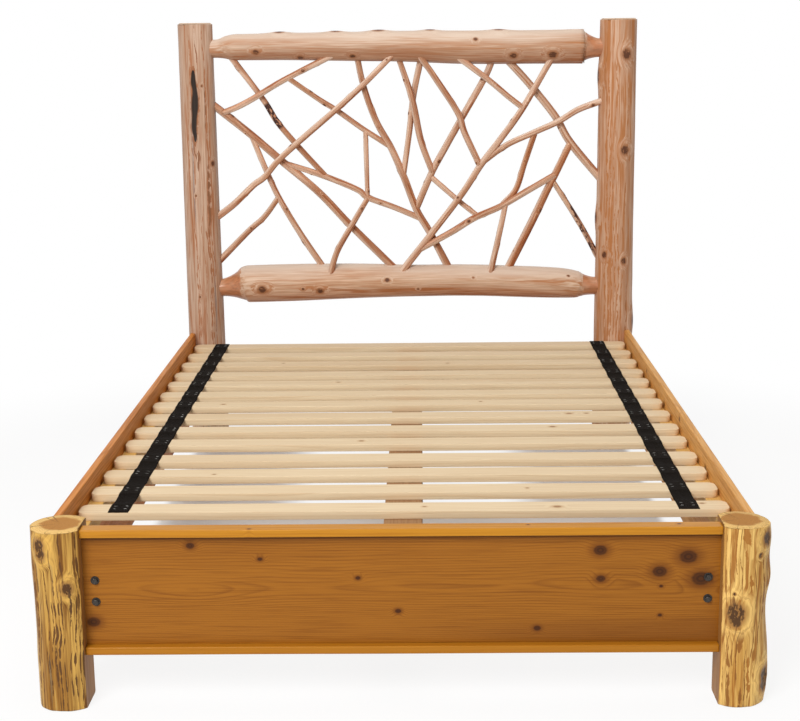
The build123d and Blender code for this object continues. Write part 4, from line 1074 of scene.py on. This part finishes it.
def dark_steel(name, base, worn, gloss):
    """Blackened steel: slightly mottled, brighter where it is rubbed."""
    material, tree = new_finish(name)
    place = wire(tree, "ShaderNodeTexCoord", out="Object")
    mottle = wire(tree, "ShaderNodeTexNoise", {"Vector": place, "Scale": 380.0, "Detail": 3.0})
    edge = wire(tree, "ShaderNodeNewGeometry", out="Pointiness")
    rubbed = edge.level(0.51, 0.58) * mottle.level(0.35, 0.6)
    colour = blend(mottle.level(0.3, 0.7), base, shade(base, 1.8))
    return lay_finish(material, blend(rubbed, colour, worn),
                      mottle.level(0.3, 0.7, gloss, gloss + 0.2), mottle, 0.3, 0.0003,
                      Metallic=0.85)


def turned_rings(points, faces, rings):
    """Adds rings of equal count to a mesh, skinned one to the next and closed at both ends."""
    faces += skinned(len(rings), len(rings[0]), len(points))
    for ring in rings:
        points.extend(ring)


def bolt_ring(x, y, z, reach, turn=0.0):
    """A ring round a bolt's line; reach is its radius, or gives the radius by the angle."""
    ring = []
    for step in range(AROUND_HEAD):
        angle = 2 * math.pi * step / AROUND_HEAD
        radius = reach(angle) if callable(reach) else reach
        ring.append((x + radius * math.cos(angle + turn), y, z - radius * math.sin(angle + turn)))
    return ring


def hexagon(angle):
    """A bolt head's edge."""
    return HEAD_APOTHEM / math.cos((angle % (math.pi / 3)) - math.pi / 6)


def chamfered(angle):
    """A bolt head's edge with its corners turned off."""
    return min(hexagon(angle), HEAD_APOTHEM * HEAD_CHAMFER)


black_steel = dark_steel("blackened_steel", BLACK_STEEL, RUBBED_BLACK, 0.35)
head_face, shank_tip = (corner.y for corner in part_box("foot_bolts"))
washer_face, washer_back = (corner.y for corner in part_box("foot_washers"))
# (place along Y, reach), from the tip of the shank to the middle of the head
bolt_profile = ((shank_tip, SHANK_RADIUS * 0.8), (shank_tip - 0.002, SHANK_RADIUS),
                (washer_face, SHANK_RADIUS), (washer_face, hexagon),
                (head_face + 0.0014, hexagon), (head_face + 0.0004, chamfered),
                (head_face, HEAD_APOTHEM * 0.90), (head_face + 0.0003, HEAD_APOTHEM * 0.45))
washer_profile = ((washer_back, SHANK_RADIUS), (washer_back, WASHER_RADIUS),
                  (washer_face + 0.0008, WASHER_RADIUS), (washer_face, WASHER_RADIUS * 0.95),
                  (washer_face, SHANK_RADIUS))
for name, node, profile, turned in (("foot_bolt_heads", "foot_bolts", bolt_profile, 0.3),
                                    ("foot_round_washers", "foot_washers", washer_profile, 0.0)):
    points, faces = [], []
    for x, z in BOLT_PLACES:
        turned_rings(points, faces, [bolt_ring(x, y, z, reach, turned * (x * 40 + z * 97))
                                     for y, reach in profile])
    steel = finish_mesh(name, points, faces, [black_steel], smooth=False)
    dress(steel, "bed_frame", "dark_steel", node)

# ------------------------------------------------------------------ cleats and their lags
# Softwood cleats behind the panel, lagged to the posts' flats; the panel's bolts end in them.
# Their lags, and the side boards' angles and screws, are oiled steel.
OILED_STEEL, RUBBED_STEEL = (0.090, 0.088, 0.084), (0.50, 0.49, 0.47)
cleat_wood = sawn_wood("cleat_lumber", (2, 0, 1), LUMBER, LUMBER_LATE, LUMBER_KNOT, 170,
                       gloss=0.6, offset=37.0, middle=(0, -1.063, 0.266))
grey_steel = dark_steel("oiled_steel", OILED_STEEL, RUBBED_STEEL, 0.32)
for cleat in ("foot_cleat_left", "foot_cleat_right"):
    dress_node(cleat, cleat_wood)
for fastener in ("cleat_lag_bolts", "bracket_lag_bolts", "rail_brackets", "ledger_screws"):
    dress_node(fastener, grey_steel)

# ------------------------------------------------------------------ side boards and ledgers
# A wide stained board down each side, hung on steel angles at the posts, and a paler ledger
# screwed inside it, flush under the slats' ends.
# the left board's stain is a darker, redder copy and the right board's a paler one: painted shade
# and painted light on one stain
SIDE_LIT_AND_SHADED_BROWNS = (0.600, 0.215, 0.032), (0.740, 0.385, 0.108)
SIDE_LIT_AND_SHADED_LATES = (0.300, 0.085, 0.010), (0.430, 0.170, 0.034)
SIDE_KNOT = (0.095, 0.036, 0.014)
LEDGER_GOLD = (0.640, 0.390, 0.120)
LEDGER_LATE = (0.480, 0.250, 0.060)
SIDE_KNOTS = {
    "side_board_left": ((-0.62, 0.09, 0.006), (0.11, 0.06, 0.007), (0.55, -0.03, 0.010),
                        (-0.25, -0.06, 0.009)),
    "side_board_right": ((-0.55, 0.10, 0.009), (-0.15, 0.125, 0.008), (-0.38, 0.06, 0.006),
                         (0.12, 0.10, 0.008), (0.33, 0.08, 0.007), (0.48, 0.12, 0.006),
                         (-0.82, 0.09, 0.007)),
}
for place, (node, knots) in enumerate(SIDE_KNOTS.items()):
    side_wood = sawn_wood(node + "_stain", (1, 2, 0), SIDE_LIT_AND_SHADED_BROWNS[place], SIDE_LIT_AND_SHADED_LATES[place],
                          SIDE_KNOT, 140, (0.02, 0.035), 0.028, 0.6, knots, 0.45,
                          31.0 + 9 * place, None, 240, 0.65)
    board_for(node, side_wood, "stained_board", 0.003, 11 + place)
    ledger = node.replace("board", "ledger")
    ledger_wood = sawn_wood(ledger + "_wood", (1, 2, 0), LEDGER_GOLD, LEDGER_LATE, LUMBER_KNOT,
                            170, (0.01, 0.03), 0.015, 0.5, (), 0.5, 44.0 + 5 * place)
    board_for(ledger, ledger_wood, "plain_lumber", 0.002, 13 + place)

# ------------------------------------------------------------------ centre beam, blocks and legs
# A plain two-by-four laid flat from the panel to the head cross board, on a block at each end and
# two legs between.
BEAM_LUMBER = (0.330, 0.180, 0.085)
BEAM_LATE = (0.210, 0.100, 0.040)
beam_woods = {axes: sawn_wood(f"beam_lumber_{axes[0]}", axes, BEAM_LUMBER, BEAM_LATE, LUMBER_KNOT,
                              170, gloss=0.6, offset=51.0 + axes[0])
              for axes in ((0, 2, 1), (1, 0, 2), (2, 0, 1))}
for node, axes in (("centre_beam", (1, 0, 2)), ("beam_cleat_foot", (0, 2, 1)),
                   ("beam_cleat_head", (0, 2, 1)), ("centre_leg_foot", (2, 0, 1)),
                   ("centre_leg_head", (2, 0, 1))):
    board_for(node, beam_woods[axes], "plain_lumber", 0.003, 17)

# ------------------------------------------------------------------ slats
# Fourteen planed pine slats, their ends sawn round at the corners, loose on the ledgers and the
# beam.
SLAT_CORNER = 0.018
SLAT_EASE = 0.0012
SLAT_BOW = 0.0006
CORNER_STEPS = 8
EDGE_STEPS = 20
GAP_LEAST = 0.05
PITCH_LEAST = 0.1
SLAT_PINE = (0.760, 0.600, 0.392)
SLAT_LATE = (0.540, 0.340, 0.170)
SLAT_KNOT = (0.290, 0.140, 0.060)
# knots of each slat, counted from the foot: (place along it, place across it, size)
SLAT_KNOTS = {
    4: ((-0.12, 0.004, 0.006),), 7: ((-0.55, 0.0, 0.005), (0.22, 0.010, 0.004)),
    5: ((0.41, 0.006, 0.007),), 6: ((0.47, 0.004, 0.007), (0.52, 0.004, 0.005)),
    1: ((0.30, -0.004, 0.004),),
    0: ((0.36, -0.006, 0.008), (0.05, 0.0, 0.004), (0.70, 0.012, 0.005)),
    2: ((-0.48, -0.012, 0.004),), 9: ((-0.22, 0.008, 0.005),),
    11: ((0.13, -0.008, 0.005), (-0.42, 0.01, 0.004)),
}


def slat_mesh(name, low, high, materials, seed):
    """One slat: its plan has rounded corners, and its long edges are eased."""
    middle, half = (low + high) / 2, (high - low) / 2
    plan = []
    for sx, sy, start in ((1, 1, 0), (-1, 1, 90), (-1, -1, 180), (1, -1, 270)):
        for step in range(CORNER_STEPS + 1):
            angle = math.radians(start + step * 90 / CORNER_STEPS)
            plan.append((sx * (half.x - SLAT_CORNER) + SLAT_CORNER * math.cos(angle),
                         sy * (half.y - SLAT_CORNER) + SLAT_CORNER * math.sin(angle)))
        if sx == sy:
            for step in range(1, EDGE_STEPS):
                plan.append((sx * (1 - step / (EDGE_STEPS / 2)) * (half.x - SLAT_CORNER),
                             sy * half.y))
    plan = np.array(plan)
    lower = ((SLAT_EASE, -half.z), (SLAT_EASE * 0.3, -half.z + SLAT_EASE * 0.3),
             (0, -half.z + SLAT_EASE))
    rows = lower + tuple((inset, -z) for inset, z in reversed(lower))
    marks = np.vstack([np.column_stack([plan * (1 - inset / np.abs(plan).max(axis=0)),
                                        np.full(len(plan), z)]) for inset, z in rows])
    bow = lumps(np.stack([marks[:, 0] * 1.6, np.full(len(marks), seed * 2.3),
                          np.zeros(len(marks))], axis=1), seed)
    points = marks + np.array(middle)
    points[:, 1] += bow * SLAT_BOW
    slat = finish_mesh(name, points, skinned(len(rows), len(plan)), materials)
    for face in slat.data.polygons:
        face.use_smooth = abs(face.normal.z) < 0.02
    keep_marks(slat, "board_place", marks)
    return slat


slat_low, slat_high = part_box("slats")
# where the slats begin and end along the bed, read from the CAD piece's own corners
levels = sorted({round(vertex.co.y, 4) for vertex in nodes["slats"].data.vertices})
front = levels[0]
slat_spans = []
for before, after in zip(levels, levels[1:]):
    if after - before > GAP_LEAST and after - front > PITCH_LEAST:
        slat_spans.append((front, before))
        front = after
slat_spans.append((front, levels[-1]))
for index, (front, back) in enumerate(slat_spans):
    pith = (0.02 * math.sin(index * 2.1), 0.020 + 0.012 * math.cos(index * 1.3))
    pine = sawn_wood(f"slat_pine_{index + 1:02d}", (0, 1, 2), SLAT_PINE, SLAT_LATE, SLAT_KNOT,
                     130, pith, 0.016, 0.42, SLAT_KNOTS.get(index, ()), 0.52, 3.7 * index, None,
                     260, 0.24)
    slat = slat_mesh(f"slat_{index + 1:02d}", Vector((slat_low.x, front, slat_low.z)),
                     Vector((slat_high.x, back, slat_high.z)), [pine], 30 + index)
    dress(slat, "slat_mat", "slat_wood", *(("slats",) if index == 0 else ()))

# ------------------------------------------------------------------ straps
# Two black woven straps stapled to every slat, so that the slats keep their spacing and roll up
# as one mat. Between slats the webbing sinks a little.
STRAP_SINK = 0.0030
STRAP_ROWS = 15
STRAP_STEP = 0.003
STRAP_THICK = 0.0018
STRAP_MARGIN = 0.0008
STRAP_FRAY, STRAP_RIPPLE = 0.0007, 0.0006
WARP_PITCH, WEFT_PITCH = 0.0022, 0.0030
WEB_BLACK, WEB_LIFTED, WEB_LINT = (
    (0.0030, 0.0020, 0.0014), (0.010, 0.0070, 0.0048), (0.060, 0.050, 0.042))
STAPLE_HALF, STAPLE_WIRE, STAPLE_RISE = 0.0035, 0.0004, 0.0006
STAPLE_STEPS, WIRE_STEPS = 6, 8
# two staples across the strap and two along the slat, as shares of the slat's width
STAPLE_SHIFTS, STAPLE_DEPTHS = (-0.013, 0.013), (0.4, 0.7)


def webbing(name):
    """Black webbing: a tight basket weave with grey lint and a slight sheen."""
    material, tree = new_finish(name)
    place = wire(tree, "ShaderNodeTexCoord", out="Object")
    x, y, _ = place.parts()
    warp, weft = ((part * (2 * math.pi / pitch)).alone("SINE")
                  for part, pitch in ((x, WARP_PITCH), (y, WEFT_PITCH)))
    weave = warp * weft
    lint = wire(tree, "ShaderNodeTexNoise", {"Vector": place, "Scale": 310.0, "Detail": 3.0})
    worn = wire(tree, "ShaderNodeTexNoise", {"Vector": place, "Scale": 26.0, "Detail": 2.0})
    colour = blend(weave.level(-0.8, 0.9), WEB_BLACK, WEB_LIFTED)
    colour = blend(lint.level(0.60, 0.74) * worn.level(0.35, 0.7), colour, WEB_LINT)
    return lay_finish(material, colour, lint.level(0.3, 0.7, 0.68, 0.88), weave + lint, 0.6,
                      0.0005, 0.025, Sheen_Weight=0.01, Sheen_Roughness=0.4)


def staple_rings(centre):
    """A staple's crown: a thin wire that rises from the webbing and dips back into it."""
    rings = []
    for step in range(STAPLE_STEPS + 1):
        angle = math.pi * step / STAPLE_STEPS
        rise = STAPLE_RISE * min(math.sin(angle) * 2.5, 1) - 0.0005
        place = centre + Vector((-STAPLE_HALF * math.cos(angle), 0, rise))
        turns = (2 * math.pi * k / WIRE_STEPS for k in range(WIRE_STEPS))
        rings.append([tuple(place + Vector((0, STAPLE_WIRE * math.cos(turn),
                                            STAPLE_WIRE * math.sin(turn)))) for turn in turns])
    return rings


black_webbing = webbing("black_webbing")
for strap, edge_seed, ripple_seed in (("strap_left", 5, 12), ("strap_right", 9, 15)):
    low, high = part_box(strap)
    middle_x = (low.x + high.x) / 2
    lengthwise = np.append(np.arange(low.y, high.y, STRAP_STEP), high.y)
    sink = np.zeros(len(lengthwise))
    for (_, before), (after, _) in zip(slat_spans, slat_spans[1:]):
        share = np.clip((lengthwise - before) / (after - before), 0, 1)
        sink += STRAP_SINK * (4 * share * (1 - share)) ** 0.7
    y, u = np.meshgrid(lengthwise, np.linspace(-1, 1, STRAP_ROWS), indexing="ij")
    edge = (high.x - low.x) / 2 - STRAP_MARGIN + STRAP_FRAY * lumps(
        np.stack([y * 40, np.sign(u) * 3.0, y * 0], axis=-1), edge_seed)
    ripple = STRAP_RIPPLE * lumps(np.stack([y * 55, u * 2.2, y * 0], axis=-1), ripple_seed)
    hang = sink[:, None] * (1 - 0.12 * u ** 2)
    x = middle_x + u * edge
    top = high.z - 0.0001 - hang + np.minimum(ripple, 0.0) - 0.0004 * np.abs(u) ** 6
    rings = np.stack([np.concatenate([upper, lower[:, ::-1]], axis=1)
                      for upper, lower in ((x, x), (y, y), (top, top - STRAP_THICK))], axis=-1)
    points, faces = [], []
    turned_rings(points, faces, [[tuple(point) for point in ring] for ring in rings[::-1]])
    band = finish_mesh(strap + "_webbing", points, faces, [black_webbing])
    dress(band, "slat_mat", "webbing", strap)
    points, faces = [], []
    for front, back in slat_spans:
        for shift in STAPLE_SHIFTS:
            for depth in STAPLE_DEPTHS:
                turned_rings(points, faces, staple_rings(Vector(
                    (middle_x + shift, front + (back - front) * depth, high.z - 0.0003))))
    staples = finish_mesh(strap + "_staples", points, faces, [grey_steel])
    dress(staples, "slat_mat", "dark_steel")
